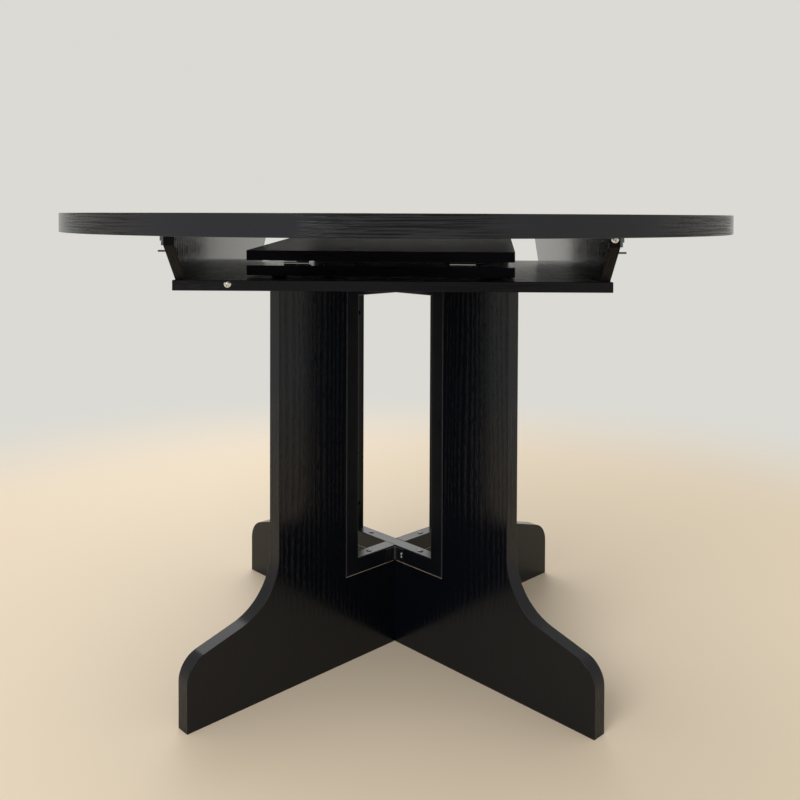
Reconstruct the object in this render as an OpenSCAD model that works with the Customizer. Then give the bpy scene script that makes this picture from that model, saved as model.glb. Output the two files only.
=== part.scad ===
// Oval extension dining table: a round top in two halves that slide apart over a
// storage bay, with a folded leaf in the bay and a pedestal of two crossed boards.
// +X is right, +Y is away from the viewer, +Z is up. The origin is on the floor
// under the middle of the pedestal.

/* [Table top] */
// Height of the top surface above the floor
table_h = 750; // [700:1:800]
// Diameter of the closed round top
top_d = 1112; // [1060:1:1200]
// Thickness of the top board and of the leaf
top_t = 15; // [12:0.5:22]
// Thickness of the strip that doubles the rim
rim_strip_t = 14; // [8:0.5:18]
// Width of the strip that doubles the rim
rim_strip_w = 50; // [30:1:60]
// Thickness of the edging on every board
band_t = 1; // [0.5:0.1:2]
// Gap between the two closed halves
split_gap = 0.4; // [0.2:0.1:1]
// Gap between neighbouring lengths of the rim strip
strip_joint = 0.3; // [0.2:0.1:1]
// Travel of each half along its slides
half_travel = 200; // [150:1:210]
// Radius of the pins that line the halves up
pin_r = 4; // [3:0.5:5]
// Length of one pin
pin_l = 24; // [16:1:30]
// How far a pin stands out of the front half
pin_reach = 11; // [6:1:14]
// Distance of the inner pins from the middle
pin_near = 120; // [80:1:180]
// Distance of the outer pins from the middle
pin_far = 400; // [300:1:440]

/* [Storage bay] */
// Distance from the rim in to each edge of the square shelf
shelf_back = 244; // [220:1:260]
// Thickness of the shelf
shelf_t = 15; // [12:0.5:18]
// Thickness of the side panels
panel_t = 15; // [12:0.5:18]
// Height of the side panels
panel_h = 78; // [72:1:90]
// Distance from the shelf's end to the outer face of a panel
panel_inset = 4.5; // [1:0.5:20]
// Height above the shelf at which a panel's slanted ends turn upright
panel_corner = 51; // [44:1:60]
// Room between the top corners of a panel and the strip under the rim
rim_room = 21.6; // [14:0.1:30]
// Room between the panels and the underside of the top
panel_room = 2; // [1:0.5:5]

/* [Slides] */
// Height of a fixed track
track_h = 25; // [22:0.5:28]
// Depth of a fixed track, out from the panel
track_d = 5; // [4.5:0.1:7]
// Distance from a panel's top corner to the end of its track
track_end = 8; // [4:1:20]
// Sheet thickness of a fixed track
track_wall = 1; // [0.8:0.1:1.5]
// Height of the lips that hold a rail in its track
track_lip = 5; // [3:0.5:6]
// Distance from the panel's top edge to the track
track_drop = 2; // [1:0.5:8]
// Running gap between a rail and its track
slide_gap = 0.3; // [0.2:0.05:0.6]
// Sheet thickness of a rail
rail_sheet = 1.5; // [1:0.1:2]
// Width of a rail's flange under the top
rail_flange = 22; // [16:1:30]
// Distance from a rail's end to its first screw
rail_screw_end = 37; // [15:1:60]
// Distance from a track's end to its first screw
track_screw_end = 41; // [15:1:60]
// Gap between the ends of two rails in one track
rail_end_gap = 10; // [4:1:30]
// Width of the stop tab on a rail
tab_w = 12; // [8:1:20]
// Radius of a stop peg
peg_r = 1.4; // [1:0.1:2]
// Reach of a stop peg out from the panel
peg_reach = 12; // [8:0.5:15]
// Distance from the track down to the middle of a stop peg
peg_drop = 8; // [5:0.5:12]
// Distance from a panel's end to the middle of a stop peg
peg_end = 8; // [6:1:40]

/* [Stored leaf] */
// Closed gap between the leaf panels at their hinges
hinge_gap = 7.5; // [6.5:0.1:9]
// Turn of the stored leaf seen from above, in degrees
leaf_skew = 5; // [0:0.5:6]
// Distance from the leaf's edges to the middle of a pad
pad_inset = 40; // [20:1:60]
// Place of the middle of the hinge line, to the right
leaf_x = -21; // [-30:1:10]
// Distance from the shelf's front edge to the hinge line
leaf_front = 58; // [50:1:62]
// Thickness of the pads under the leaf
pad_t = 2.5; // [1:0.1:3]
// Radius of a pad
pad_r = 11; // [6:0.5:15]
// Play between the two end strips of the closed leaf
strip_play = 0.3; // [0.2:0.05:0.5]
// Length of one hinge
hinge_l = 38; // [30:1:50]
// Radius of a hinge knuckle
knuckle_r = 2; // [1.8:0.1:2.6]
// Radius of a hinge pin
hinge_pin_r = 1; // [0.8:0.05:1.3]
// Sheet thickness of a hinge plate
hinge_plate_t = 1; // [0.8:0.1:1.4]
// Width of a hinge plate
hinge_plate_w = 18; // [14:1:25]
// Distance from the middle of the leaf to a hinge
hinge_place = 124; // [80:1:150]
// Distance from the hinge line to its screws
hinge_screw_y = 11; // [8:0.5:14]
// Step from the knuckles to the broad part of a plate
hinge_step = 0.5; // [0.3:0.1:1]

/* [Pedestal boards] */
// Distance that the toes stand in from the shelf's edges, seen from the front
toe_inset = 2.64; // [1:0.02:30]
// Thickness of a leg board
leg_t = 25; // [22:0.5:30]
// Width of a leg board above its feet
leg_stem_w = 526; // [480:1:560]
// Height of the upright end of a foot
foot_end_h = 69; // [50:1:80]
// Fall of the foot's upper edge, in degrees
foot_slope = 15.6; // [10:0.1:22]
// Radius at the toe
toe_r = 40; // [20:1:50]
// Radius where the foot runs into the stem
ankle_r = 95; // [60:1:110]
// Width of the cut-out
window_w = 250; // [220:1:280]
// Height of the sill of the cut-out
window_sill = 144; // [120:1:170]
// Play on each side of the halving joint
lap_play = 0.1; // [0.05:0.05:0.3]

/* [Steel frames] */
// Width of the frame tube, across the board
tube_w = 25; // [15:0.5:25]
// Depth of the frame tube, in the plane of the board
tube_h = 26; // [22:0.5:30]
// Wall of the frame tube
tube_wall = 1.5; // [1:0.1:2]
// Play between a frame and the sides of its cut-out
frame_play = 0.5; // [0.2:0.1:1.5]
// Radius of the holes that let a driver through the tube
access_r = 3.5; // [3.3:0.1:5]
// Distance from a frame's corner to its side screws
side_screw = 71; // [50:1:120]
// Distance from the middle to the screws in the bars
bar_screw = 63; // [50:1:90]
// Leg length of a corner bracket
bracket_l = 24; // [20:1:30]
// Height of a corner bracket
bracket_h = 22; // [16:0.5:22]
// Sheet thickness of a corner bracket
bracket_t = 2; // [1.5:0.1:3]
// Inner bend radius of a corner bracket
bracket_bend = 4; // [2:0.5:6]
// Distance from a bracket's corner to its screws
bracket_screw_x = 17.8; // [12:0.1:18]
// Height of a bracket's screws above and below its middle
bracket_screw_dz = 2.6; // [2.5:0.1:6]

/* [Fasteners] */
// Head radius of the pan-head screws in the lower frame bars
sill_head_r = 4.5; // [3:0.1:6]
// Head radius of a wood screw
screw_head_r = 3.2; // [2.8:0.1:3.2]
// Head thickness of a wood screw
screw_head_t = 1.6; // [1:0.1:2]
// Shank radius of a wood screw
screw_r = 1.8; // [1.4:0.1:2]
// Bite of a screw that is driven into a thin board
short_bite = 11; // [8:0.5:11.5]
// Bite of a screw that is driven into a leg board
long_bite = 30; // [20:1:40]
// Bite of a screw that is driven up into a panel
panel_bite = 35; // [25:1:45]
// Head radius of the round screws on the bay
round_head_r = 5.3; // [4.5:0.1:5.5]
// Head height of the round screws on the bay
round_head_t = 2.6; // [2:0.1:3.5]
// Width of the crossed recess in a round screw
recess_w = 0.95; // [0.6:0.05:1.5]
// Depth of the crossed recess in a round screw
recess_depth = 1.4; // [0.8:0.1:1.8]
// Distance from a panel's end to its outer foot screws
panel_screw_end = 75; // [40:1:120]
// Distance from a panel's top to the round screw in its end
round_screw_drop = 16; // [12:0.5:24]
// Distance from the middle to the round screw in the shelf
round_screw_x = 233; // [180:1:260]
// Head radius of the screws in the brackets
small_head_r = 2.2; // [1.8:0.1:2.4]
// Head thickness of the screws in the brackets
small_head_t = 1.1; // [0.8:0.1:1.5]
// Shank radius of the screws in the brackets
small_r = 1.2; // [1:0.1:1.3]

/* [Hidden] */
$fn = 48;

cut = 1;
black = "#1b1b1d";
edging = "#232325";
steel = "#161618";
zinc = "#b9bcc0";
felt = "#3a3a3c";

top_r = top_d / 2;
core_r = top_r - band_t;
top_under = table_h - top_t;
rim_under = top_under - rim_strip_t;
split_y = split_gap / 2;
pin_play = 0.06;

shelf_w = top_d - 2 * shelf_back;
shelf_d = shelf_w;
leg_h = top_under - panel_room - panel_h - shelf_t;
leg_l = sqrt(2) * (shelf_w - 2 * toe_inset) - leg_t;
shelf_top = leg_h + shelf_t;
shelf_core_w = shelf_w - 2 * band_t;
shelf_core_d = shelf_d - 2 * band_t;
panel_x = shelf_w / 2 - panel_inset;
panel_low_y = shelf_d / 2;
panel_top_y = sqrt(pow(core_r - rim_strip_w - rim_room, 2) - pow(panel_x, 2));
end_slant = atan((panel_top_y - panel_low_y) / panel_corner);

// Half the length of a side panel at a height above the shelf
function panel_reach(w) = min(panel_top_y, panel_low_y + w * tan(end_slant));

track_top = panel_h - track_drop;
track_low = track_top - track_h;
track_mid = track_low + track_h / 2;
track_l = 2 * (panel_top_y - track_end);
runner_in = track_wall + slide_gap;
runner_out = track_d - track_wall - slide_gap;
hanger_in = track_d + slide_gap;
hanger_out = hanger_in + rail_sheet;
neck_half = track_h / 2 - track_wall - track_lip - slide_gap;
rail_l = track_l / 2 - rail_end_gap / 2;
flange_mid = hanger_out + (rail_flange - rail_sheet) / 2;
peg_place = track_low - peg_drop;
peg_y = panel_reach(peg_place) - peg_end;
tab_y = peg_y - peg_r - slide_gap - half_travel - tab_w;
tab_low = peg_place - peg_r;

leaf_w = 2 * half_travel;
leaf_l = top_r;
leaf_y = leaf_front - shelf_d / 2;
leaf_half = hinge_gap / 2;
leaf_axis_z = shelf_top + pad_t + top_t + leaf_half;
leaf_tilt = asin((2 * (rim_strip_t - leaf_half) + strip_play)
    / (leaf_l - band_t - rim_strip_w));
hinge_screw_x = hinge_l / 4;
hinge_head_t = 0.8;

lap_z = window_sill / 2;
lap_w = leg_t + 2 * lap_play;
frame_half_w = window_w / 2 - frame_play;
frame_h = leg_h - window_sill;
bracket_corner = tube_w / 2 * sqrt(2);
hole_play = 0.05;
arc_steps = 24;

// A point that is d out from the right panel's outer face and w above the shelf
function on_face(d, w) = [panel_x + d, shelf_top + w];

// Points on an arc about c from angle a0 to angle a1
function arc(c, r, a0, a1) = [for (i = [0:arc_steps])
    let (a = a0 + (a1 - a0) * i / arc_steps)
    [c[0] + r * cos(a), c[1] + r * sin(a)]];

// Slanted distance by which the top of the foot rises from the toe to the ankle
toe_c = [leg_l / 2 - toe_r, foot_end_h];
ankle_x = leg_stem_w / 2 + ankle_r;
slope_run = toe_c[0] + toe_r * sin(foot_slope) - (ankle_x - ankle_r * sin(foot_slope));
ankle_c = [ankle_x, toe_c[1] + toe_r * cos(foot_slope)
    + slope_run * tan(foot_slope) + ankle_r * cos(foot_slope)];

// One side of the leg outline from the floor up, set in by a distance
function leg_side(inset) = concat(
    [[leg_l / 2 - inset, 0]],
    arc(toe_c, toe_r - inset, 0, 90 - foot_slope),
    arc(ankle_c, ankle_r + inset, 270 - foot_slope, 180),
    [[leg_stem_w / 2 - inset, leg_h]]);

function reversed(list) = [for (i = [len(list) - 1:-1:0]) list[i]];

function mirrored(list) = [for (p = list) [-p[0], p[1]]];

// A closed outline in X and Z, carried along Y
module along_y(points, y0, y1) {
    translate([0, y1, 0]) rotate([90, 0, 0])
        linear_extrude(y1 - y0) polygon(points);
}

// An outline in X and Z, stood up as a board of thickness t on the plane Y = 0
module upright_board(t) {
    translate([0, t / 2, 0]) rotate([90, 0, 0]) linear_extrude(t) children();
}

// A screw along +Z: its head is below the origin and its shank above
module screw(head_r, head_t, shank_r, shank_l) {
    translate([0, 0, -head_t]) cylinder(r = head_r, h = head_t);
    translate([0, 0, -head_t / 2]) cylinder(r = shank_r, h = shank_l + head_t / 2);
}

// Half of a disc on the side of the front half
module half_disc(r, z0, z1, y_edge) {
    difference() {
        translate([0, 0, z0]) cylinder(r = r, h = z1 - z0, $fn = 180);
        translate([-r - cut, -y_edge, z0 - cut])
            cube([2 * r + 2 * cut, r + y_edge + cut, z1 - z0 + 2 * cut]);
    }
}

module pin_places() {
    for (x = [-pin_far, -pin_near, pin_near, pin_far])
        translate([x, 0, table_h - top_t / 2]) rotate([-90, 0, 0]) children();
}

// Screws from the flanges of the rails of one half, as seen for the front half
module rail_screw_places() {
    for (side = [-1, 1], y = [rail_screw_end, rail_l / 2, rail_l - rail_screw_end])
        translate([side * (panel_x + flange_mid), -rail_end_gap / 2 - y, top_under - rail_sheet])
            children();
}

module top_board(r, y_edge) {
    half_disc(r, top_under, table_h, y_edge);
}

module top_front() {
    color(black) difference() {
        top_board(core_r, split_y + band_t);
        pin_places() translate([0, 0, pin_reach - pin_l])
            cylinder(r = pin_r, h = pin_l);
        rail_screw_places() cylinder(r = screw_r, h = short_bite + rail_sheet);
    }
}

module top_rear() {
    color(black) rotate([0, 0, 180]) difference() {
        top_board(core_r, split_y + band_t);
        rotate([0, 0, 180]) pin_places()
            cylinder(r = pin_r + pin_play, h = pin_reach + cut);
        rail_screw_places() cylinder(r = screw_r, h = short_bite + rail_sheet);
    }
}

// Four lengths of strip, each an eighth of the ring
module rim_strips() {
    joint_a = asin(strip_joint / core_r);
    for (i = [0:3])
        translate([0, 0, rim_under]) rotate([0, 0, 180 + 45 * i + joint_a])
            rotate_extrude(angle = 45 - 2 * joint_a, $fn = 180)
                translate([core_r - rim_strip_w, 0])
                    square([rim_strip_w, rim_strip_t]);
}

module rim_strips_front() {
    color(black) difference() {
        rim_strips();
        translate([-top_r, -split_y - band_t, rim_under - cut])
            cube([top_d, top_r, rim_strip_t + 2 * cut]);
    }
}

module rim_strips_rear() {
    rotate([0, 0, 180]) rim_strips_front();
}

// The band round the rim and the lower band on the split edge
module edge_band() {
    difference() {
        half_disc(top_r, rim_under, table_h, split_y);
        half_disc(core_r, rim_under - cut, table_h + cut, split_y + band_t);
        translate([-core_r, -split_y - band_t - cut, rim_under - cut])
            cube([2 * core_r, 2 * band_t + cut, rim_strip_t + cut]);
    }
}

module edge_band_front() {
    color(edging) difference() {
        edge_band();
        pin_places() translate([0, 0, -pin_l]) cylinder(r = pin_r, h = pin_l);
    }
}

module edge_band_rear() {
    color(edging) difference() {
        rotate([0, 0, 180]) edge_band();
        pin_places() cylinder(r = pin_r + pin_play, h = pin_reach);
    }
}

module alignment_pins() {
    color("peru") pin_places() translate([0, 0, pin_reach - pin_l])
        cylinder(r = pin_r, h = pin_l);
}

// The front right rail: runner, neck, hanger, flange and stop tab of one sheet
module rail() {
    y0 = -rail_end_gap / 2 - rail_l;
    y1 = -rail_end_gap / 2;
    along_y([on_face(runner_in, track_low + runner_in), on_face(runner_out, track_low + runner_in),
        on_face(runner_out, track_top - runner_in), on_face(runner_in, track_top - runner_in)],
        y0, y1);
    along_y([on_face(runner_in, track_mid - neck_half), on_face(hanger_out, track_mid - neck_half),
        on_face(hanger_out, track_mid + neck_half), on_face(runner_in, track_mid + neck_half)],
        y0, y1);
    along_y([on_face(hanger_in, track_mid - neck_half), on_face(hanger_out, track_mid - neck_half),
        on_face(hanger_out, panel_h + panel_room), on_face(hanger_in, panel_h + panel_room)],
        y0, y1);
    translate([panel_x + hanger_in, y0, top_under - rail_sheet])
        cube([rail_flange, rail_l, rail_sheet]);
    along_y([on_face(hanger_in, tab_low), on_face(hanger_out, tab_low),
        on_face(hanger_out, track_mid), on_face(hanger_in, track_mid)],
        -tab_y - tab_w, -tab_y);
}

module drilled_rail() {
    difference() {
        rail();
        rail_screw_places() translate([0, 0, -cut]) cylinder(r = screw_r, h = rail_sheet + 2 * cut);
    }
}

module rail_front_right() {
    color(zinc) drilled_rail();
}

module rail_front_left() {
    color(zinc) mirror([1, 0, 0]) drilled_rail();
}

module rail_rear_right() {
    color(zinc) mirror([0, 1, 0]) drilled_rail();
}

module rail_rear_left() {
    color(zinc) rotate([0, 0, 180]) drilled_rail();
}

module rail_screws_front() {
    color(zinc) rail_screw_places()
        screw(screw_head_r, screw_head_t, screw_r, short_bite + rail_sheet);
}

module rail_screws_rear() {
    rotate([0, 0, 180]) rail_screws_front();
}

// Places on the outer face of both panels: X points out of the face, Z up it
module face_places(ys, w) {
    for (side = [0, 1], y = ys)
        mirror([side, 0, 0]) translate([panel_x, y, shelf_top + w]) children();
}

track_screw_ys = [for (i = [-2:2]) i / 2 * (track_l / 2 - track_screw_end)];
peg_ys = [-peg_y, peg_y];

module track_screw_places() {
    face_places(track_screw_ys, track_mid) rotate([0, -90, 0]) children();
}

module peg_places() {
    face_places(peg_ys, peg_place) rotate([0, 90, 0]) children();
}

module track_right() {
    color(zinc) difference() {
        union() {
            along_y([on_face(0, track_low), on_face(track_wall, track_low),
                on_face(track_wall, track_top), on_face(0, track_top)],
                -track_l / 2, track_l / 2);
            for (low = [track_low, track_top - track_wall])
                along_y([on_face(0, low), on_face(track_d, low),
                    on_face(track_d, low + track_wall), on_face(0, low + track_wall)],
                    -track_l / 2, track_l / 2);
            for (low = [track_low, track_top - track_wall - track_lip])
                along_y([on_face(track_d - track_wall, low), on_face(track_d, low),
                    on_face(track_d, low + track_wall + track_lip),
                    on_face(track_d - track_wall, low + track_wall + track_lip)],
                    -track_l / 2, track_l / 2);
        }
        track_screw_places() translate([0, 0, -track_wall - cut])
            cylinder(r = screw_head_r + hole_play, h = track_wall + 2 * cut);
    }
}

module track_left() {
    mirror([1, 0, 0]) track_right();
}

module track_screws() {
    color(zinc) track_screw_places() {
        translate([0, 0, -track_wall]) cylinder(r = screw_head_r, h = track_wall);
        translate([0, 0, -track_wall / 2]) cylinder(r = screw_r, h = short_bite + track_wall / 2);
    }
}

module stop_pegs() {
    color(zinc) peg_places() translate([0, 0, -short_bite])
        cylinder(r = peg_r, h = short_bite + peg_reach);
}

// Places on the shelf's top under the middle of each panel
module panel_screw_places() {
    for (side = [-1, 1], y = [-1, 0, 1])
        translate([side * (panel_x - panel_t / 2), y * (shelf_core_d / 2 - panel_screw_end),
            shelf_top]) children();
}

screw_start = 2 * screw_head_t - shelf_t;

// One end of a panel in Y and Z, from the foot up, set in by a distance
function panel_end(inset) = let (back = inset / cos(end_slant)) [
    [panel_low_y - back, 0],
    [panel_top_y - inset, panel_corner + (back - inset) / tan(end_slant)],
    [panel_top_y - inset, panel_h]];

// The right panel, which is shorter at its foot than at its top
module panel_plate(inset) {
    translate([panel_x - panel_t, 0, shelf_top]) rotate([90, 0, 90]) linear_extrude(panel_t)
        polygon(concat(panel_end(inset), reversed(mirrored(panel_end(inset)))));
}

module side_panel_right() {
    color(black) difference() {
        panel_plate(band_t);
        track_screw_places() cylinder(r = screw_r, h = short_bite);
        peg_places() translate([0, 0, -short_bite]) cylinder(r = peg_r, h = short_bite + cut);
        panel_screw_places() translate([0, 0, -panel_t])
            cylinder(r = screw_r, h = panel_bite + panel_t);
        round_screw_places() cylinder(r = screw_r, h = short_bite);
    }
}

module side_panel_left() {
    rotate([0, 0, 180]) side_panel_right();
}

module panel_end_bands() {
    color(edging) difference() {
        for (side = [0, 1]) mirror([side, 0, 0]) difference() {
            panel_plate(0);
            panel_plate(band_t);
        }
        round_screw_places() translate([0, 0, -cut]) cylinder(r = screw_r, h = short_bite);
    }
}

module panel_screws() {
    color(zinc) panel_screw_places() translate([0, 0, screw_start])
        screw(screw_head_r, screw_head_t, screw_r, panel_bite - screw_start);
}

// The round screws: one in the shelf's front edge and one in the right panel's
// end, and the same two turned half round for the back
module round_screw_places() {
    panel_z = panel_h - round_screw_drop;
    for (turn = [0, 180]) rotate([0, 0, turn]) {
        translate([-round_screw_x, -shelf_d / 2, leg_h + shelf_t - round_head_r])
            rotate([-90, 0, 0]) children();
        translate([panel_x - panel_t / 2, -panel_reach(panel_z), shelf_top + panel_z])
            rotate([-90, 0, 0]) children();
    }
}

// A low dome with a crossed recess
module round_head() {
    recess = round_head_r - round_head_t / 4;
    dome_r = round_head_r + round_head_t + recess_w / 2;
    difference() {
        intersection() {
            translate([0, 0, -round_head_t]) cylinder(r = round_head_r, h = round_head_t);
            translate([0, 0, dome_r - round_head_t]) sphere(r = dome_r);
        }
        for (turn = [0, 90]) rotate([0, 0, turn])
            translate([-recess / 2, -recess_w / 2, -round_head_t - cut])
                cube([recess, recess_w, cut + recess_depth]);
    }
}

module round_screws() {
    color(zinc) round_screw_places() {
        round_head();
        neck = (round_head_t - recess_depth) / 2;
        translate([0, 0, -neck]) cylinder(r = screw_r, h = short_bite + neck);
    }
}

// Places of the screws that go down into the sill and up into the shelf
module bar_screw_places() {
    for (a = [45, 135, 225, 315]) rotate([0, 0, a]) translate([bar_screw, 0, 0]) children();
}

module shelf() {
    color(black) difference() {
        translate([-shelf_core_w / 2, -shelf_core_d / 2, leg_h])
            cube([shelf_core_w, shelf_core_d, shelf_t]);
        panel_screw_places() {
            translate([0, 0, -2 * shelf_t]) cylinder(r = screw_r, h = 2 * shelf_t + cut);
            translate([0, 0, -3 * shelf_t + screw_start])
                cylinder(r = screw_head_r + hole_play, h = 3 * shelf_t);
        }
        round_screw_places() cylinder(r = screw_r, h = short_bite);
        bar_screw_places() translate([0, 0, leg_h - cut]) cylinder(r = screw_r, h = short_bite + cut);
    }
}

module shelf_bands() {
    color(edging) difference() {
        translate([-shelf_w / 2, -shelf_d / 2, leg_h]) cube([shelf_w, shelf_d, shelf_t]);
        translate([-shelf_core_w / 2, -shelf_core_d / 2, leg_h - cut])
            cube([shelf_core_w, shelf_core_d, shelf_t + 2 * cut]);
        round_screw_places() translate([0, 0, -cut]) cylinder(r = screw_r, h = short_bite);
    }
}

// The lower leaf panel's place: X along the hinge line, Y to the back
module leaf_place() {
    translate([leaf_x, leaf_y, leaf_axis_z]) rotate([0, 0, -leaf_skew]) children();
}

// The upper leaf panel's place, turned open about the hinge line and turned over
module upper_place() {
    leaf_place() rotate([leaf_tilt, 0, 0]) mirror([0, 0, 1]) children();
}

// One leaf panel below the hinge line, with the bores for the pins of the front half
module leaf_panel() {
    difference() {
        translate([-leaf_w / 2 + band_t, band_t, -leaf_half - top_t])
            cube([leaf_w - 2 * band_t, leaf_l - 2 * band_t, top_t]);
        leaf_bores();
        leaf_hinge_screw_places() translate([0, 0, -short_bite])
            cylinder(r = small_r, h = short_bite);
    }
}

module leaf_bores() {
    for (y = [pin_near, pin_far])
        translate([-leaf_w / 2 - cut, y, -leaf_half - top_t / 2]) rotate([0, 90, 0])
            cylinder(r = pin_r + pin_play, h = pin_reach + 2 * cut);
}

module leaf_strip() {
    translate([-leaf_w / 2 + band_t, leaf_l - band_t - rim_strip_w, -leaf_half])
        cube([leaf_w - 2 * band_t, rim_strip_w, rim_strip_t]);
}

module leaf_bands() {
    difference() {
        union() {
            translate([-leaf_w / 2, 0, -leaf_half - top_t]) cube([leaf_w, leaf_l, top_t]);
            translate([-leaf_w / 2, leaf_l - band_t - rim_strip_w, -leaf_half - top_t])
                cube([leaf_w, rim_strip_w + band_t, top_t + rim_strip_t]);
        }
        translate([-leaf_w / 2 + band_t, band_t, -leaf_half - top_t - cut])
            cube([leaf_w - 2 * band_t, leaf_l - 2 * band_t, top_t + rim_strip_t + 2 * cut]);
        leaf_bores();
    }
}

// Places of the hinge screws on the inner face of the lower leaf panel
module leaf_hinge_screw_places() {
    for (side = [-1, 1], end = [-1, 1])
        translate([side * hinge_place + end * hinge_screw_x, hinge_screw_y, -leaf_half])
            children();
}

// One plate and its half of the barrel for each hinge, with the barrel half on one end
module hinge_plates(end) {
    knuckle_l = hinge_l / 2 - hole_play * 2;
    knuckle_x = end > 0 ? hole_play * 2 : -hinge_l / 2;
    for (side = [-1, 1]) difference() {
        translate([side * hinge_place, 0, 0]) union() {
            translate([-hinge_l / 2, knuckle_r + hinge_step, -leaf_half])
                cube([hinge_l, hinge_plate_w - knuckle_r - hinge_step, hinge_plate_t]);
            translate([knuckle_x, knuckle_r - hinge_plate_t, -leaf_half])
                cube([knuckle_l, hinge_plate_t + 2 * hinge_step, hinge_plate_t]);
            translate([knuckle_x, 0, 0]) rotate([0, 90, 0]) cylinder(r = knuckle_r, h = knuckle_l);
            translate([knuckle_x, knuckle_r - hinge_plate_t, -leaf_half])
                cube([knuckle_l, hinge_plate_t, leaf_half - hinge_pin_r]);
        }
        translate([side * hinge_place - hinge_l, 0, 0]) rotate([0, 90, 0])
            cylinder(r = hinge_pin_r + hole_play, h = 2 * hinge_l);
        leaf_hinge_screw_places() cylinder(r = small_r, h = 4 * hinge_plate_t, center = true);
    }
}

module leaf_hinge_screws() {
    leaf_hinge_screw_places() {
        translate([0, 0, hinge_plate_t]) cylinder(r = small_head_r, h = hinge_head_t);
        translate([0, 0, -short_bite])
            cylinder(r = small_r, h = short_bite + hinge_plate_t + hinge_head_t / 2);
    }
}

module leaf_lower() {
    color(black) leaf_place() leaf_panel();
}

module leaf_upper() {
    color(black) upper_place() leaf_panel();
}

module leaf_lower_strip() {
    color(black) leaf_place() leaf_strip();
}

module leaf_upper_strip() {
    color(black) upper_place() leaf_strip();
}

module leaf_lower_bands() {
    color(edging) leaf_place() leaf_bands();
}

module leaf_upper_bands() {
    color(edging) upper_place() leaf_bands();
}

module hinge_plates_lower() {
    color(zinc) leaf_place() hinge_plates(-1);
}

module hinge_plates_upper() {
    color(zinc) upper_place() hinge_plates(1);
}

module hinge_pins() {
    color(zinc) leaf_place() for (side = [-1, 1])
        translate([side * hinge_place - hinge_l / 2, 0, 0]) rotate([0, 90, 0])
            cylinder(r = hinge_pin_r, h = hinge_l);
}

module hinge_screws_lower() {
    color(zinc) leaf_place() leaf_hinge_screws();
}

module hinge_screws_upper() {
    color(zinc) upper_place() leaf_hinge_screws();
}

module leaf_pads() {
    color(felt) leaf_place() for (side = [-1, 1], y = [pad_inset, leaf_l - 2 * pad_inset])
        translate([side * (leaf_w / 2 - pad_inset), y, -leaf_half - top_t - pad_t])
            cylinder(r = pad_r, h = pad_t);
}

// A leg board with its cut-out; it stands along X until it is turned
module leg_board() {
    difference() {
        upright_board(leg_t) polygon(concat(leg_side(band_t), reversed(mirrored(leg_side(band_t)))));
        translate([-window_w / 2, -leg_t, window_sill])
            cube([window_w, 2 * leg_t, leg_h - window_sill + cut]);
        for (side = [-1, 1], z = [window_sill + side_screw, leg_h - side_screw])
            translate([side * (window_w / 2 - cut), 0, z]) rotate([0, 90 * side, 0])
                cylinder(r = screw_r, h = long_bite + cut);
        for (side = [-1, 1]) translate([side * bar_screw, 0, window_sill - long_bite])
            cylinder(r = screw_r, h = long_bite + cut);
    }
}

module leg_bands() {
    for (side = [0, 1]) mirror([side, 0, 0])
        upright_board(leg_t) polygon(concat(leg_side(0), reversed(leg_side(band_t))));
}

module leg_board_a() {
    color(black) rotate([0, 0, 45]) difference() {
        leg_board();
        translate([-lap_w / 2, -leg_t, lap_z]) cube([lap_w, 2 * leg_t, window_sill]);
    }
}

module leg_board_b() {
    color(black) rotate([0, 0, -45]) difference() {
        leg_board();
        translate([-lap_w / 2, -leg_t, -cut]) cube([lap_w, 2 * leg_t, lap_z + cut]);
    }
}

module leg_bands_a() {
    color(edging) rotate([0, 0, 45]) leg_bands();
}

module leg_bands_b() {
    color(edging) rotate([0, 0, -45]) leg_bands();
}

// A rectangle in X and Z round the cut-out, set in by a distance, and t thick
module frame_block(inset, t) {
    translate([-frame_half_w + inset, -t / 2, window_sill + inset])
        cube([2 * (frame_half_w - inset), t, frame_h - 2 * inset]);
}

// Holes for the shanks, and for a driver where a head is inside the tube
module frame_holes() {
    inner = tube_h - tube_wall / 2;
    for (side = [-1, 1], z = [window_sill + side_screw, leg_h - side_screw])
        translate([side * frame_half_w, 0, z]) rotate([0, -90 * side, 0]) {
            translate([0, 0, -cut]) cylinder(r = screw_r, h = tube_h);
            translate([0, 0, tube_h / 2]) cylinder(r = access_r, h = tube_h / 2 + cut);
        }
    for (side = [-1, 1]) {
        translate([side * bar_screw, 0, window_sill - cut])
            cylinder(r = screw_r, h = tube_h + 2 * cut);
        translate([side * bar_screw, 0, leg_h - tube_h / 2]) cylinder(r = screw_r, h = tube_h);
        translate([side * bar_screw, 0, leg_h - tube_h - cut])
            cylinder(r = access_r, h = tube_h / 2 + cut);
    }
}

module tube_frame() {
    difference() {
        frame_block(0, tube_w);
        frame_block(tube_h, tube_w + 2 * cut);
        difference() {
            frame_block(tube_wall, tube_w - 2 * tube_wall);
            frame_block(tube_h - tube_wall, tube_w);
        }
        frame_holes();
    }
}

module frame_closed() {
    color(steel) difference() {
        rotate([0, 0, -45]) tube_frame();
        bracket_screw_places() cylinder(r = small_r, h = bracket_l / 2);
    }
}

// The half of the second frame that lies on the -X side before it is turned
module half_frame() {
    intersection() {
        tube_frame();
        translate([-window_w, -tube_w, 0]) cube([window_w - tube_w / 2, 2 * tube_w, leg_h]);
    }
}

module frame_half_near() {
    color(steel) rotate([0, 0, 45]) half_frame();
}

module frame_half_far() {
    rotate([0, 0, 180]) frame_half_near();
}

// The four inner corners of the crossing that hold a bracket: near and far, low and high
module bracket_places() {
    for (turn = [0, 180], z = [window_sill + tube_h / 2, leg_h - tube_h / 2])
        rotate([0, 0, turn]) translate([0, -bracket_corner, z]) rotate([0, 0, -135]) children();
}

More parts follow.
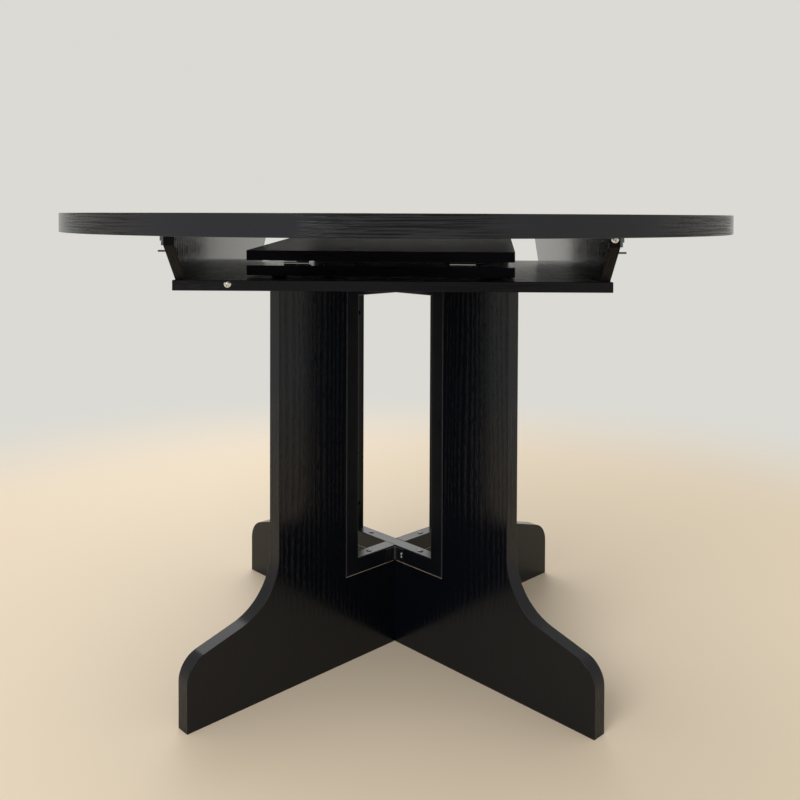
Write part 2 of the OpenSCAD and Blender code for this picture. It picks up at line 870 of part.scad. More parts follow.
// Places on the leg of each bracket that lies on the closed frame
module bracket_screw_places() {
    bracket_places() for (dz = [-bracket_screw_dz, bracket_screw_dz])
        translate([bracket_t, bracket_screw_x, dz]) rotate([0, -90, 0]) children();
}

module bracket() {
    bend_out = bracket_bend + bracket_t;
    translate([0, 0, -bracket_h / 2]) linear_extrude(bracket_h) {
        translate([bend_out, 0]) square([bracket_l - bend_out, bracket_t]);
        translate([0, bend_out]) square([bracket_t, bracket_l - bend_out]);
        intersection() {
            translate([bend_out, bend_out]) difference() {
                circle(r = bend_out);
                circle(r = bracket_bend);
            }
            square(bend_out);
        }
    }
}

module corner_brackets() {
    color(steel) difference() {
        bracket_places() bracket();
        bracket_screw_places() translate([0, 0, -cut]) cylinder(r = small_r, h = bracket_l / 2);
    }
}

module bracket_screws() {
    color(zinc) bracket_screw_places()
        screw(small_head_r, small_head_t, small_r, bracket_t + 2 * tube_wall);
}

module frame_side_screws() {
    color(zinc) for (a = [45, 135, 225, 315], z = [window_sill + side_screw, leg_h - side_screw])
        rotate([0, 0, a]) translate([frame_half_w - tube_wall, 0, z]) rotate([0, 90, 0])
            screw(screw_head_r, screw_head_t, screw_r, tube_wall + frame_play + long_bite);
}

module frame_sill_screws() {
    color(zinc) bar_screw_places() translate([0, 0, window_sill + tube_h]) rotate([180, 0, 0])
        screw(sill_head_r, screw_head_t, screw_r, tube_h + long_bite);
}

module frame_shelf_screws() {
    color(zinc) bar_screw_places() translate([0, 0, leg_h - tube_wall])
        screw(screw_head_r, screw_head_t, screw_r, tube_wall + short_bite);
}

top_front();
top_rear();
rim_strips_front();
rim_strips_rear();
edge_band_front();
edge_band_rear();
alignment_pins();
rail_front_left();
rail_front_right();
rail_rear_left();
rail_rear_right();
rail_screws_front();
rail_screws_rear();
track_left();
track_right();
track_screws();
stop_pegs();
side_panel_left();
side_panel_right();
panel_end_bands();
panel_screws();
shelf();
shelf_bands();
round_screws();
leaf_pads();
leaf_lower();
leaf_upper();
leaf_lower_strip();
leaf_upper_strip();
leaf_lower_bands();
leaf_upper_bands();
hinge_plates_lower();
hinge_plates_upper();
hinge_pins();
hinge_screws_lower();
hinge_screws_upper();
leg_board_a();
leg_board_b();
leg_bands_a();
leg_bands_b();
frame_closed();
frame_half_near();
frame_half_far();
corner_brackets();
bracket_screws();
frame_side_screws();
frame_sill_screws();
frame_shelf_screws();
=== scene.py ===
# Oval extension dining table in black ash melamine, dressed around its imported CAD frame.
import math

import bmesh
import bpy
import numpy as np
from mathutils import Matrix, Vector


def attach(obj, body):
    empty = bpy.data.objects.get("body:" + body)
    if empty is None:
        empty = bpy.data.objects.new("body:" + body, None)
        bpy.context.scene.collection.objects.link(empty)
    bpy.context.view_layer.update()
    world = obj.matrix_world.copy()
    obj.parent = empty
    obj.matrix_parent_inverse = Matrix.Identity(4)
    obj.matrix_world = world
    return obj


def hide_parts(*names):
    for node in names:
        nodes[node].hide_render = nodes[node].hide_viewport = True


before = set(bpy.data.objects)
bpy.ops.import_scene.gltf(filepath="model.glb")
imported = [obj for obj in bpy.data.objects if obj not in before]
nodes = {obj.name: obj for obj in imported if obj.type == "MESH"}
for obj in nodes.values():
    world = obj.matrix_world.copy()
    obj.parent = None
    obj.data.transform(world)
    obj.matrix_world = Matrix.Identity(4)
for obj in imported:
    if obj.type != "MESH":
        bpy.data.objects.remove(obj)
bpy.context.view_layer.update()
mm = 0.001
print("frame loaded:", len(nodes), "CAD nodes")


def hexToLinear(code):
    # sRGB hex to linear colour: ((c + 0.055) / 1.055) ^ 2.4 above the toe, c / 12.92 in it
    values = [int(code[i:i + 2], 16) / 255 for i in (1, 3, 5)]
    return [v / 12.92 if v <= 0.04045 else ((v + 0.055) / 1.055) ** 2.4 for v in values] + [1.0]


def addNode(tree, kind, inputs=None, **settings):
    # one node, its settings, and its sockets: a socket takes a value or another node's output
    node = tree.nodes.new(kind)
    for name, value in settings.items():
        setattr(node, name, value)
    for name, value in (inputs or {}).items():
        if isinstance(value, bpy.types.NodeSocket):
            tree.links.new(value, node.inputs[name])
        else:
            node.inputs[name].default_value = value
    return node


def perMetre(size):
    # scale of a noise texture whose features are size mm across
    return 1 / (size * mm)


def wavesPerMetre(size):
    # scale of a wave texture with size mm from band to band: at a scale of 1 that is 2 pi / 20 m
    return 2 * math.pi / 20 / (size * mm)


def newMaterial(name):
    material = bpy.data.materials.new(name)
    material.use_nodes = True
    tree = material.node_tree
    tree.nodes.clear()
    shader = addNode(tree, "ShaderNodeBsdfPrincipled")
    addNode(tree, "ShaderNodeOutputMaterial", {"Surface": shader.outputs[0]})
    return material, tree, shader


def connect(tree, socket, shader, name):
    tree.links.new(socket, shader.inputs[name])


view = {
    "place": (0.03205, -1.56557, 0.74584),
    "yaw": 0.01655,  # all three turns in radians
    "pitch": 0.02191,
    "roll": 0.00405,
    "focalPixels": 888.5,
    "principalRow": 236.4,  # the row that the lens looks at; the rest of the frame lies below it
    "frameSize": 800,
    "sensor": 36,  # mm
    "near": 0.05,
}


def makeCamera(view):
    # axes = roll @ pitch @ base @ yaw; its rows are the camera's right, down and forward
    turnZ = np.array(Matrix.Rotation(-view["yaw"], 3, "Z"))
    base = np.array([[1, 0, 0], [0, 0, -1], [0, 1, 0]])
    c, s = math.cos(view["pitch"]), math.sin(view["pitch"])
    pitch = np.array([[1, 0, 0], [0, c, -s], [0, s, c]])
    c, s = math.cos(view["roll"]), math.sin(view["roll"])
    roll = np.array([[c, -s, 0], [s, c, 0], [0, 0, 1]])
    axes = roll @ pitch @ base @ turnZ
    camera = bpy.data.objects.new("camera", bpy.data.cameras.new("camera"))
    turn = Matrix(np.array([axes[0], -axes[1], -axes[2]]).T.tolist()).to_4x4()
    camera.matrix_world = Matrix.Translation(view["place"]) @ turn
    camera.data.sensor_width = view["sensor"]
    camera.data.lens = view["focalPixels"] / view["frameSize"] * view["sensor"]
    camera.data.shift_y = (view["principalRow"] - view["frameSize"] / 2) / view["frameSize"]
    camera.data.clip_start = view["near"]
    bpy.context.scene.collection.objects.link(camera)
    bpy.context.scene.camera = camera


makeCamera(view)
print("camera placed")


ash = {
    "dark": "#010307",
    "light": "#060911",
    "figureWidth": 9.5,  # mm from one growth ring to the next
    "poreWidth": {"flat": 1.1, "leaf": 1.1, "panel": 1.1, "upright": 0.75},  # mm, as it shows from 1.5 m
    "poreStretch": 0.05,  # a pore is twenty times as long as it is wide
    "poreRange": (0.45, 0.62),  # noise levels at which a pore begins and is fully open
    "figureStretch": 0.075,
    "figureBend": 16.0,
    "earlyWood": (0.15, 0.95),  # wave levels between which the pores of a ring fill in
    "drift": 45.5,  # mm over which the grain wanders
    "waver": 9.0,  # mm by which it wanders to the side
    "cloud": 91.0,  # mm from one darker patch to the next
    "emboss": 0.15,  # mm of depth that the bump stands for
    "finish": {"flat": ((0.24, 0.38), 0.23, 0.60),  # roughness, specular level and bump
               "leaf": ((0.14, 0.27), 0.54, 1.00),
               "panel": ((0.09, 0.16), 0.30, 0.16),
               "upright": ((0.11, 0.23), 0.33, 0.27)},
}


def blackAsh(name, direction, turn=0.0):
    # Melamine-faced board with a black ash print, pressed on an embossing plate: near-black,
    # satin, with fine open pores and slow cathedral figure that catch the light at low angles.
    # Pattern space: X across the grain, Y through the board, Z along the grain.
    material, tree, shader = newMaterial(name)
    roughness, specular, relief = ash["finish"][direction]
    if direction in ("flat", "leaf"):
        order = Matrix.Rotation(math.radians(-90), 3, "Y") @ Matrix.Rotation(math.radians(90), 3, "X")
    elif direction == "panel":
        order = Matrix.Rotation(math.radians(90), 3, "Z")
    else:
        order = Matrix.Identity(3)
    rotation = (order @ Matrix.Rotation(math.radians(-turn), 3, "Z")).to_euler()
    place = addNode(tree, "ShaderNodeTexCoord").outputs["Object"]
    turned = addNode(tree, "ShaderNodeMapping", {"Vector": place, "Rotation": rotation}).outputs[0]
    slow = addNode(tree, "ShaderNodeMapping", {
        "Vector": turned, "Scale": (1, 1, ash["figureStretch"])}).outputs[0]
    drift = addNode(tree, "ShaderNodeTexNoise", {
        "Vector": slow, "Scale": perMetre(ash["drift"]), "Detail": 1.0}).outputs["Color"]
    wavy = addNode(tree, "ShaderNodeVectorMath", {
        0: drift, 1: (ash["waver"] * mm, 0, 0), 2: turned}, operation="MULTIPLY_ADD").outputs[0]
    fast = addNode(tree, "ShaderNodeMapping", {
        "Vector": wavy, "Scale": (1, 1, ash["poreStretch"])}).outputs[0]
    rings = addNode(tree, "ShaderNodeTexWave", {
        "Vector": slow, "Scale": wavesPerMetre(ash["figureWidth"]), "Distortion": ash["figureBend"],
        "Detail": 2.5, "Detail Scale": 0.30, "Detail Roughness": 0.55}, bands_direction="X").outputs["Fac"]
    pores = addNode(tree, "ShaderNodeTexNoise", {
        "Vector": fast, "Scale": perMetre(ash["poreWidth"][direction]), "Detail": 3.0,
        "Roughness": 0.62}).outputs["Fac"]
    openPores = addNode(tree, "ShaderNodeMapRange", {
        "Value": pores, "From Min": ash["poreRange"][0], "From Max": ash["poreRange"][1]},
        interpolation_type="SMOOTHSTEP").outputs[0]
    early = addNode(tree, "ShaderNodeMapRange", {
        "Value": rings, "From Min": ash["earlyWood"][0], "From Max": ash["earlyWood"][1],
        "To Min": 0.25, "To Max": 1.0}).outputs[0]
    grain = addNode(tree, "ShaderNodeMath", {0: openPores, 1: early}, operation="MULTIPLY").outputs[0]
    cloud = addNode(tree, "ShaderNodeTexNoise", {
        "Vector": slow, "Scale": perMetre(ash["cloud"]), "Detail": 2.0}).outputs["Fac"]
    tone = addNode(tree, "ShaderNodeMath", {0: cloud, 1: 0.35, 2: grain}, operation="MULTIPLY_ADD").outputs[0]
    colour = addNode(tree, "ShaderNodeMix", {
        "Factor": tone, "A": hexToLinear(ash["light"]), "B": hexToLinear(ash["dark"])}, data_type="RGBA")
    connect(tree, colour.outputs["Result"], shader, "Base Color")
    rough = addNode(tree, "ShaderNodeMapRange", {
        "Value": grain, "To Min": roughness[0], "To Max": roughness[1]}).outputs[0]
    connect(tree, rough, shader, "Roughness")
    bump = addNode(tree, "ShaderNodeBump", {
        "Height": grain, "Strength": relief, "Distance": ash["emboss"] * mm}, invert=True).outputs[0]
    connect(tree, bump, shader, "Normal")
    shader.inputs["Specular IOR Level"].default_value = specular
    return material


edging = {
    # one edging in copies toned by the light each place gets: lightest on the rim as painted light, darkest
    # in the bay and on the leaf as painted shade
    "litAndShadedCopies": {"rim": ("#010102", "#25262a", 0.19, 1.0),  # dark, light, specular level and bump
              "board": ("#050508", "#0e0e14", 0.24, 0.5),
              "shelf": ("#0a0a0f", "#131319", 0.15, 0.5),
              "bay": ("#030305", "#07070a", 0.09, 0.5),
              "leaf": ("#020308", "#060812", 0.04, 0.5)},
    "lineWidth": 2.2,  # mm
    "lineStretch": 0.018,  # a line is some fifty times as long as it is wide
    "lineRange": (0.44, 0.58),  # noise levels at which a line begins and is full
    "plainRange": (0.36, 0.78),  # wave levels at which the lines begin and are full
    "repeat": 470.0,  # mm; along the roll the lines come and go
    "shift": 3.68,  # radians that the roll starts ahead by
    "roughness": (0.20, 0.36),
    "emboss": 0.45,
}


def blackEdging(name, coordinates, kind):
    # ABS edging with a printed and embossed ash grain that runs along its length: lighter than
    # the board on the rim as painted light, with dark lines that come and go, and darker on the hidden edges
    # as painted shade.
    dark, light, specular, relief = edging["litAndShadedCopies"][kind]
    material, tree, shader = newMaterial(name)
    source = addNode(tree, "ShaderNodeTexCoord")
    if coordinates == "UV":
        scale = (edging["lineStretch"], 1, 1)
        place = source.outputs["UV"]
    else:
        scale = (edging["lineStretch"], edging["lineStretch"], 1)
        place = source.outputs["Object"]
    slow = addNode(tree, "ShaderNodeMapping", {"Vector": place, "Scale": scale}).outputs[0]
    lines = addNode(tree, "ShaderNodeTexNoise", {
        "Vector": slow, "Scale": perMetre(edging["lineWidth"]), "Detail": 3.0,
        "Roughness": 0.6}).outputs["Fac"]
    waves = addNode(tree, "ShaderNodeTexWave", {
        "Vector": place, "Scale": wavesPerMetre(edging["repeat"]), "Distortion": 0.8,
        "Detail Scale": 2.0, "Phase Offset": edging["shift"]}, bands_direction="X").outputs["Fac"]
    lined = addNode(tree, "ShaderNodeMapRange", {
        "Value": waves, "From Min": edging["plainRange"][0], "From Max": edging["plainRange"][1],
        "To Min": 0.05, "To Max": 1.0}).outputs[0]
    sharp = addNode(tree, "ShaderNodeMapRange", {
        "Value": lines, "From Min": edging["lineRange"][0], "From Max": edging["lineRange"][1]},
        interpolation_type="SMOOTHSTEP").outputs[0]
    grain = addNode(tree, "ShaderNodeMath", {0: sharp, 1: lined}, operation="MULTIPLY").outputs[0]
    colour = addNode(tree, "ShaderNodeMix", {
        "Factor": grain, "A": hexToLinear(light), "B": hexToLinear(dark)}, data_type="RGBA")
    connect(tree, colour.outputs["Result"], shader, "Base Color")
    rough = addNode(tree, "ShaderNodeMapRange", {
        "Value": grain, "To Min": edging["roughness"][0], "To Max": edging["roughness"][1]}).outputs[0]
    connect(tree, rough, shader, "Roughness")
    bump = addNode(tree, "ShaderNodeBump", {
        "Height": grain, "Strength": relief, "Distance": edging["emboss"] * mm}, invert=True).outputs[0]
    connect(tree, bump, shader, "Normal")
    shader.inputs["Specular IOR Level"].default_value = specular
    return material


coat = {"dark": "#04060b", "light": "#080b13", "roughness": (0.24, 0.36), "bump": 0.25,
        "peel": 1.54, "patch": 41.7, "emboss": 0.15}  # mm: orange peel, cloudy patches, bump's depth


def powderCoat(name, specular):
    # Powder-coated steel in satin black: an even coat with a faint orange peel.
    material, tree, shader = newMaterial(name)
    place = addNode(tree, "ShaderNodeTexCoord").outputs["Object"]
    peel = addNode(tree, "ShaderNodeTexNoise", {
        "Vector": place, "Scale": perMetre(coat["peel"]), "Detail": 2.0}).outputs["Fac"]
    patch = addNode(tree, "ShaderNodeTexNoise", {
        "Vector": place, "Scale": perMetre(coat["patch"]), "Detail": 3.0}).outputs["Fac"]
    colour = addNode(tree, "ShaderNodeMix", {
        "Factor": patch, "A": hexToLinear(coat["dark"]), "B": hexToLinear(coat["light"])}, data_type="RGBA")
    connect(tree, colour.outputs["Result"], shader, "Base Color")
    rough = addNode(tree, "ShaderNodeMapRange", {
        "Value": patch, "To Min": coat["roughness"][0], "To Max": coat["roughness"][1]}).outputs[0]
    connect(tree, rough, shader, "Roughness")
    bump = addNode(tree, "ShaderNodeBump", {
        "Height": peel, "Strength": coat["bump"], "Distance": coat["emboss"] * mm}).outputs[0]
    connect(tree, bump, shader, "Normal")
    shader.inputs["Specular IOR Level"].default_value = specular
    return material


plating = {"lines": 0.714, "cloud": 16.7, "emboss": 0.08,  # mm
           "bump": 0.15, "mixRange": (0.1, 0.45)}


def platedSteel(name, tone, roughness, stretch):
    # Zinc or nickel-plated steel: bright, with drawing or rolling lines along its length and
    # slightly cloudy where the plate took unevenly. A metal keeps the default IOR.
    material, tree, shader = newMaterial(name)
    place = addNode(tree, "ShaderNodeTexCoord").outputs["Object"]
    drawn = addNode(tree, "ShaderNodeMapping", {"Vector": place, "Scale": stretch}).outputs[0]
    lines = addNode(tree, "ShaderNodeTexNoise", {
        "Vector": drawn, "Scale": perMetre(plating["lines"]), "Detail": 2.0}).outputs["Fac"]
    cloud = addNode(tree, "ShaderNodeTexNoise", {
        "Vector": place, "Scale": perMetre(plating["cloud"]), "Detail": 3.0}).outputs["Fac"]
    colour = addNode(tree, "ShaderNodeMix", {
        "Factor": cloud, "A": hexToLinear(tone[0]), "B": hexToLinear(tone[1])}, data_type="RGBA")
    connect(tree, colour.outputs["Result"], shader, "Base Color")
    mixed = addNode(tree, "ShaderNodeMath", {0: lines, 1: cloud}, operation="MULTIPLY").outputs[0]
    rough = addNode(tree, "ShaderNodeMapRange", {
        "Value": mixed, "From Min": plating["mixRange"][0], "From Max": plating["mixRange"][1],
        "To Min": roughness[0], "To Max": roughness[1]}).outputs[0]
    connect(tree, rough, shader, "Roughness")
    bump = addNode(tree, "ShaderNodeBump", {
        "Height": lines, "Strength": plating["bump"], "Distance": plating["emboss"] * mm}).outputs[0]
    connect(tree, bump, shader, "Normal")
    shader.inputs["Metallic"].default_value = 1.0
    return material


# barrel is the colour of the painted highlight band, plate the colour of the painted shade
hinge = {"barrel": "#c9c8c3", "plate": "#26262a", "roughness": (0.08, 0.45),
         "middle": 676.25, "reach": 1.9}  # mm: the barrel's height, and how far from it the painted highlight goes


def hingeWithPaintedHighlight(name):
    # Nickel-plated hinge: a thin band of painted highlight along the middle of the rolled barrel,
    # glossy; the plates, more than reach above or below the middle, rougher and painted dark as shade.
    material, tree, shader = newMaterial(name)
    place = addNode(tree, "ShaderNodeTexCoord").outputs["Object"]
    height = addNode(tree, "ShaderNodeSeparateXYZ", {"Vector": place}).outputs["Z"]
    middle, reach = hinge["middle"] * mm, hinge["reach"] * mm
    up = addNode(tree, "ShaderNodeMath", {0: height, 1: middle}, operation="SUBTRACT").outputs[0]
    away = addNode(tree, "ShaderNodeMath", {0: up}, operation="ABSOLUTE").outputs[0]
    # 1 on the plates, painted dark as shade; 0 in the band of painted highlight
    plate = addNode(tree, "ShaderNodeMath", {0: away, 1: reach}, operation="GREATER_THAN").outputs[0]
    colour = addNode(tree, "ShaderNodeMix", {
        "Factor": plate, "A": hexToLinear(hinge["barrel"]), "B": hexToLinear(hinge["plate"])},
        data_type="RGBA")
    connect(tree, colour.outputs["Result"], shader, "Base Color")
    rough = addNode(tree, "ShaderNodeMapRange", {
        "Value": plate, "To Min": hinge["roughness"][0], "To Max": hinge["roughness"][1]}).outputs[0]
    connect(tree, rough, shader, "Roughness")
    shader.inputs["Metallic"].default_value = 1.0
    return material


felt = {"dark": "#232326", "light": "#4a4a4d", "fibre": 0.667, "emboss": 0.4}  # the last two in mm


def woolFelt(name):
    # Pressed wool felt: matt, fuzzy, flecked with lighter fibres.
    material, tree, shader = newMaterial(name)
    place = addNode(tree, "ShaderNodeTexCoord").outputs["Object"]
    fibre = addNode(tree, "ShaderNodeTexNoise", {
        "Vector": place, "Scale": perMetre(felt["fibre"]), "Detail": 4.0, "Roughness": 0.7,
        "Distortion": 1.5}).outputs["Fac"]
    colour = addNode(tree, "ShaderNodeMix", {
        "Factor": fibre, "A": hexToLinear(felt["dark"]), "B": hexToLinear(felt["light"])}, data_type="RGBA")
    connect(tree, colour.outputs["Result"], shader, "Base Color")
    bump = addNode(tree, "ShaderNodeBump", {
        "Height": fibre, "Strength": 0.8, "Distance": felt["emboss"] * mm}).outputs[0]
    connect(tree, bump, shader, "Normal")
    shader.inputs["Roughness"].default_value = 0.95
    shader.inputs["Sheen Weight"].default_value = 0.25
    return material


beech = {"light": "#d8b384", "dark": "#a97c4d", "fleck": 0.77, "emboss": 0.2}  # the last two in mm


def turnedBeech(name):
    # Turned beech: pale pink-brown with short darker flecks along the pin, dry and unfinished.
    material, tree, shader = newMaterial(name)
    place = addNode(tree, "ShaderNodeTexCoord").outputs["Object"]
    along = addNode(tree, "ShaderNodeMapping", {"Vector": place, "Scale": (1, 0.12, 1)}).outputs[0]
    fleck = addNode(tree, "ShaderNodeTexNoise", {
        "Vector": along, "Scale": perMetre(beech["fleck"]), "Detail": 3.0, "Roughness": 0.6}).outputs["Fac"]
    colour = addNode(tree, "ShaderNodeMix", {
        "Factor": fleck, "A": hexToLinear(beech["light"]), "B": hexToLinear(beech["dark"])}, data_type="RGBA")
    connect(tree, colour.outputs["Result"], shader, "Base Color")
    bump = addNode(tree, "ShaderNodeBump", {
        "Height": fleck, "Strength": 0.3, "Distance": beech["emboss"] * mm}).outputs[0]
    connect(tree, bump, shader, "Normal")
    shader.inputs["Roughness"].default_value = 0.62
    return material


chipSize = 1.43  # mm


def rawBoard(name, light, dark):
    # Bare particle board where the melamine face ends: chips of 0.5 to 2 mm, rough and dry, tan on the sill;
    # in grey, the same chips make the painted highlight up the cut-out's sides.
    material, tree, shader = newMaterial(name)
    place = addNode(tree, "ShaderNodeTexCoord").outputs["Object"]
    chips = addNode(tree, "ShaderNodeTexVoronoi", {
        "Vector": place, "Scale": perMetre(chipSize)}).outputs["Color"]
    grey = addNode(tree, "ShaderNodeRGBToBW", {"Color": chips}).outputs[0]
    colour = addNode(tree, "ShaderNodeMix", {
        "Factor": grey, "A": hexToLinear(light), "B": hexToLinear(dark)}, data_type="RGBA")
    connect(tree, colour.outputs["Result"], shader, "Base Color")
    shader.inputs["Roughness"].default_value = 0.85
    return material


materials = {
    "ashFlat": blackAsh("blackAshMelamineFlat", "flat"),
    "ashLeaf": blackAsh("blackAshMelamineLeaf", "leaf", -5),
    "ashLegA": blackAsh("blackAshMelamineLegA", "upright", 45),
    "ashLegB": blackAsh("blackAshMelamineLegB", "upright", -45),
    "ashPanel": blackAsh("blackAshMelaminePanel", "panel"),
    "edgingRim": blackEdging("blackEdgingAbsRim", "UV", "rim"),
    "edgingBoard": blackEdging("blackEdgingAbsBoard", "UV", "board"),
    "edgingShelf": blackEdging("blackEdgingAbsShelf", "UV", "shelf"),
    "edgingBay": blackEdging("blackEdgingAbsBay", "UV", "bay"),
    "edgingLeaf": blackEdging("blackEdgingAbsLeaf", "Object", "leaf"),
    "steel": powderCoat("powderCoatedSteelBlack", 0.32),
    "steelBright": powderCoat("powderCoatedSteelGloss", 0.55),
    "zincAlong": platedSteel("zincPlatedSteelRolled", ("#5d6063", "#7b7e80"), (0.26, 0.42), (1, 0.04, 1)),
    "zincDark": platedSteel("zincPlatedSteelDark", ("#626568", "#7c7f82"), (0.26, 0.42), (1, 1, 1)),
    "zinc": platedSteel("zincPlatedSteel", ("#b3b6b9", "#d3d5d4"), (0.24, 0.38), (1, 1, 1)),
    "nickel": platedSteel("nickelPlatedSteel", ("#cdccc9", "#e4e3e0"), (0.16, 0.28), (1, 1, 1)),
    "hinge": hingeWithPaintedHighlight("nickelHingePaintedHighlight"),
    "felt": woolFelt("woolFeltGrey"),
    "beech": turnedBeech("turnedBeech"),
    "rawSill": rawBoard("rawParticleBoard", "#cdbaa5", "#a5927f"),
    # light grey strips up the cut-out's sides: painted highlight along the board's edges
    "paintedSideHighlight": rawBoard("paintedEdgeHighlightGrey", "#6e6a68", "#4c4a4a"),
}

carried = {
    "ashFlat": ["top_front", "top_rear", "rim_strips_front", "rim_strips_rear", "shelf"],
    "ashLeaf": ["leaf_lower", "leaf_upper", "leaf_lower_strip", "leaf_upper_strip"],
    "ashLegA": ["leg_board_a"],
    "ashLegB": ["leg_board_b"],
    "ashPanel": ["side_panel_left", "side_panel_right"],
    "edgingLeaf": ["leaf_lower_bands", "leaf_upper_bands"],
    "steelBright": ["corner_brackets"],
    "zincAlong": ["rail_front_left", "rail_front_right", "rail_rear_left", "rail_rear_right",
                  "track_left", "track_right"],
    "hinge": ["hinge_plates_lower", "hinge_plates_upper", "hinge_pins"],
}
for key, names in carried.items():
    for name in names:
        nodes[name].data.materials.clear()
        nodes[name].data.materials.append(materials[key])
print("materials on", sum(len(names) for names in carried.values()), "carried nodes")


def gridMesh(name, grids):
    # Joins grids into one mesh. A grid is points[i, j] with flags for wrapping along i and
    # across j and for capping its ends; UV is the length in metres along i and across j.
    verts, faces, coords, start = [], [], [], 0
    for points, wrapAlong, wrapAcross, capped in grids:
        m, k = points.shape[:2]
        i, j = np.meshgrid(np.arange(m if wrapAlong else m - 1),
                           np.arange(k if wrapAcross else k - 1), indexing="ij")
        corners = np.stack([i, j, i + 1, j, i + 1, j + 1, i, j + 1], -1).reshape(-1, 4, 2)
        faces += (start + corners[..., 0] % m * k + corners[..., 1] % k).tolist()
        closed = np.concatenate([points, points[:1]], 0)
        closed = np.concatenate([closed, closed[:, :1]], 1)
        stepU = np.linalg.norm(np.diff(closed[:, 0], axis=0), axis=1)
        stepV = np.linalg.norm(np.diff(closed[0], axis=0), axis=1)
        u = np.concatenate([[0], np.cumsum(stepU)])
        v = np.concatenate([[0], np.cumsum(stepV)])
        coords.append(np.stack([u[corners[..., 0]], v[corners[..., 1]]], -1).reshape(-1, 2))
        if capped:
            faces.append((start + np.arange(k)).tolist())
            faces.append((start + (m - 1) * k + np.arange(k)).tolist())
            coords.append(np.stack([np.zeros(2 * k), np.tile(v[:k], 2)], -1))
        verts.append(points.reshape(-1, 3))
        start += m * k
    mesh = bpy.data.meshes.new(name)
    mesh.from_pydata(np.concatenate(verts).tolist(), [], faces)
    layer = mesh.uv_layers.new(name="UVMap")
    layer.data.foreach_set("uv", np.concatenate(coords).astype(np.float32).ravel())
    return mesh


sharpAngle = math.radians(32)  # faces that meet at more than this keep a true corner


def tidyMesh(mesh):
    # closes poles and seams, turns the faces outwards and keeps true corners sharp
    work = bmesh.new()
    work.from_mesh(mesh)
    bmesh.ops.remove_doubles(work, verts=work.verts, dist=1e-7)
    bmesh.ops.dissolve_degenerate(work, edges=work.edges, dist=1e-7)
    bmesh.ops.recalc_face_normals(work, faces=work.faces)
    work.to_mesh(mesh)
    work.free()
    mesh.shade_smooth()
    mesh.set_sharp_from_angle(angle=sharpAngle)


def addPiece(name, grids, material, body, replaced=()):
    # a new piece out of grids, on its body and in its slot, in place of the CAD nodes replaced
    mesh = gridMesh(name, grids)
    tidyMesh(mesh)
    mesh.materials.append(materials[material])
    piece = bpy.data.objects.new(name, mesh)
    bpy.context.scene.collection.objects.link(piece)
    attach(piece, body)
    if replaced:
        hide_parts(*replaced)
    return piece


arcLead = 0.12  # share of a corner's radius at which the flats get a point of their own


def roundedCorners(low, high, radii, steps=4):
    # Section of a strip: a rectangle from low to high with a radius for each corner, in the
    # order low-low, high-low, high-high, low-high. Corner points are c + r (cos a, sin a), and
    # one more point beyond each end of the arc keeps the shading of the flats flat.
    corners = [(low[0], low[1], 1, 1, 180), (high[0], low[1], -1, 1, 270),
               (high[0], high[1], -1, -1, 0), (low[0], high[1], 1, -1, 90)]
    out = []
    for (x, y, sx, sy, first), r in zip(corners, radii):
        if r == 0:
            out.append(np.array([[x, y]]))
            continue
        a = np.radians(first + np.linspace(0, 90, steps + 1))
        arc = np.stack([x + sx * r + r * np.cos(a), y + sy * r + r * np.sin(a)], -1)
        before = arc[0] - arcLead * r * np.array([-np.sin(a[0]), np.cos(a[0])])
        after = arc[-1] + arcLead * r * np.array([-np.sin(a[-1]), np.cos(a[-1])])
        out.append(np.vstack([before, arc, after]))
    return np.vstack(out)


def sweep(path, outward, across, section):
    # point(i, j) = path(i) + section(j).x * outward(i) + section(j).y * across, in metres
    return (path[:, None] + section[None, :, :1] * outward[:, None]
            + section[None, :, 1:] * np.asarray(across, float)[None, None]) * mm


def mitredNormals(path, side, closed=False):
    # Outward normal at each point of a flat path, lengthened at a corner so that a strip keeps
    # its width: n = (n1 + n2) / (1 + n1 . n2). side is the flat's own normal.
    step = np.diff(np.vstack([path, path[:1]]) if closed else path, axis=0)
    normal = np.cross(step / np.linalg.norm(step, axis=1)[:, None], side)
    if closed:
        before, after = np.roll(normal, 1, axis=0), normal
    else:
        before, after = np.vstack([normal[:1], normal]), np.vstack([normal, normal[-1:]])
    return (before + after) / (1 + (before * after).sum(1))[:, None]


def turnZ(points, degrees):
    # turned about Z: (x cos - y sin, x sin + y cos, z)
    c, s = math.cos(math.radians(degrees)), math.sin(math.radians(degrees))
    return points @ np.array([[c, s, 0], [-s, c, 0], [0, 0, 1]])


def lathe(profile, places, axes, sides=32, carve=None):
    # point(i, j) = place + z(i) axis + r(i) (cos a(j) e1 + sin a(j) e2) for each place; carve
    # lowers z near the pole. Units are mm until the return.
    a = np.linspace(0, 2 * math.pi, sides, endpoint=False)
    r, z = profile[:, 0][:, None], profile[:, 1][:, None]
    x, y = r * np.cos(a), r * np.sin(a)
    depth = z + (carve(x, y, z) if carve else 0) + 0 * x
    out = []
    for n, (place, axis) in enumerate(zip(places, axes)):
        axis = np.asarray(axis, float) / np.linalg.norm(axis)
        helper = np.array([1.0, 0, 0]) if abs(axis[0]) < 0.8 else np.array([0, 0, 1.0])
        e1 = np.cross(axis, helper)
        e1 /= np.linalg.norm(e1)
        e2 = np.cross(axis, e1)
        roll = 0.9 * n + 0.35  # each screw stopped at another angle
        e1, e2 = e1 * math.cos(roll) + e2 * math.sin(roll), e2 * math.cos(roll) - e1 * math.sin(roll)
        points = np.asarray(place, float) + depth[..., None] * axis + x[..., None] * e1 + y[..., None] * e2
        out.append((points * mm, False, True, False))
    return out


top = {"radius": 556.0, "under": 735.0, "surface": 750.0, "rim": 721.0, "gap": 0.2,
       "band": 1.0, "ease": 0.8, "splitEase": (0, 0.3, 0.4, 0), "rimPoints": 145,
       "pins": (-400, -120, 120, 400), "pinRadius": 4.0, "pinPlay": 0.06, "pinMiddle": 742.5,
       "pinLength": 24.0, "pinReach": 11.0, "boreLead": 5.0, "boreDeep": 20.0}


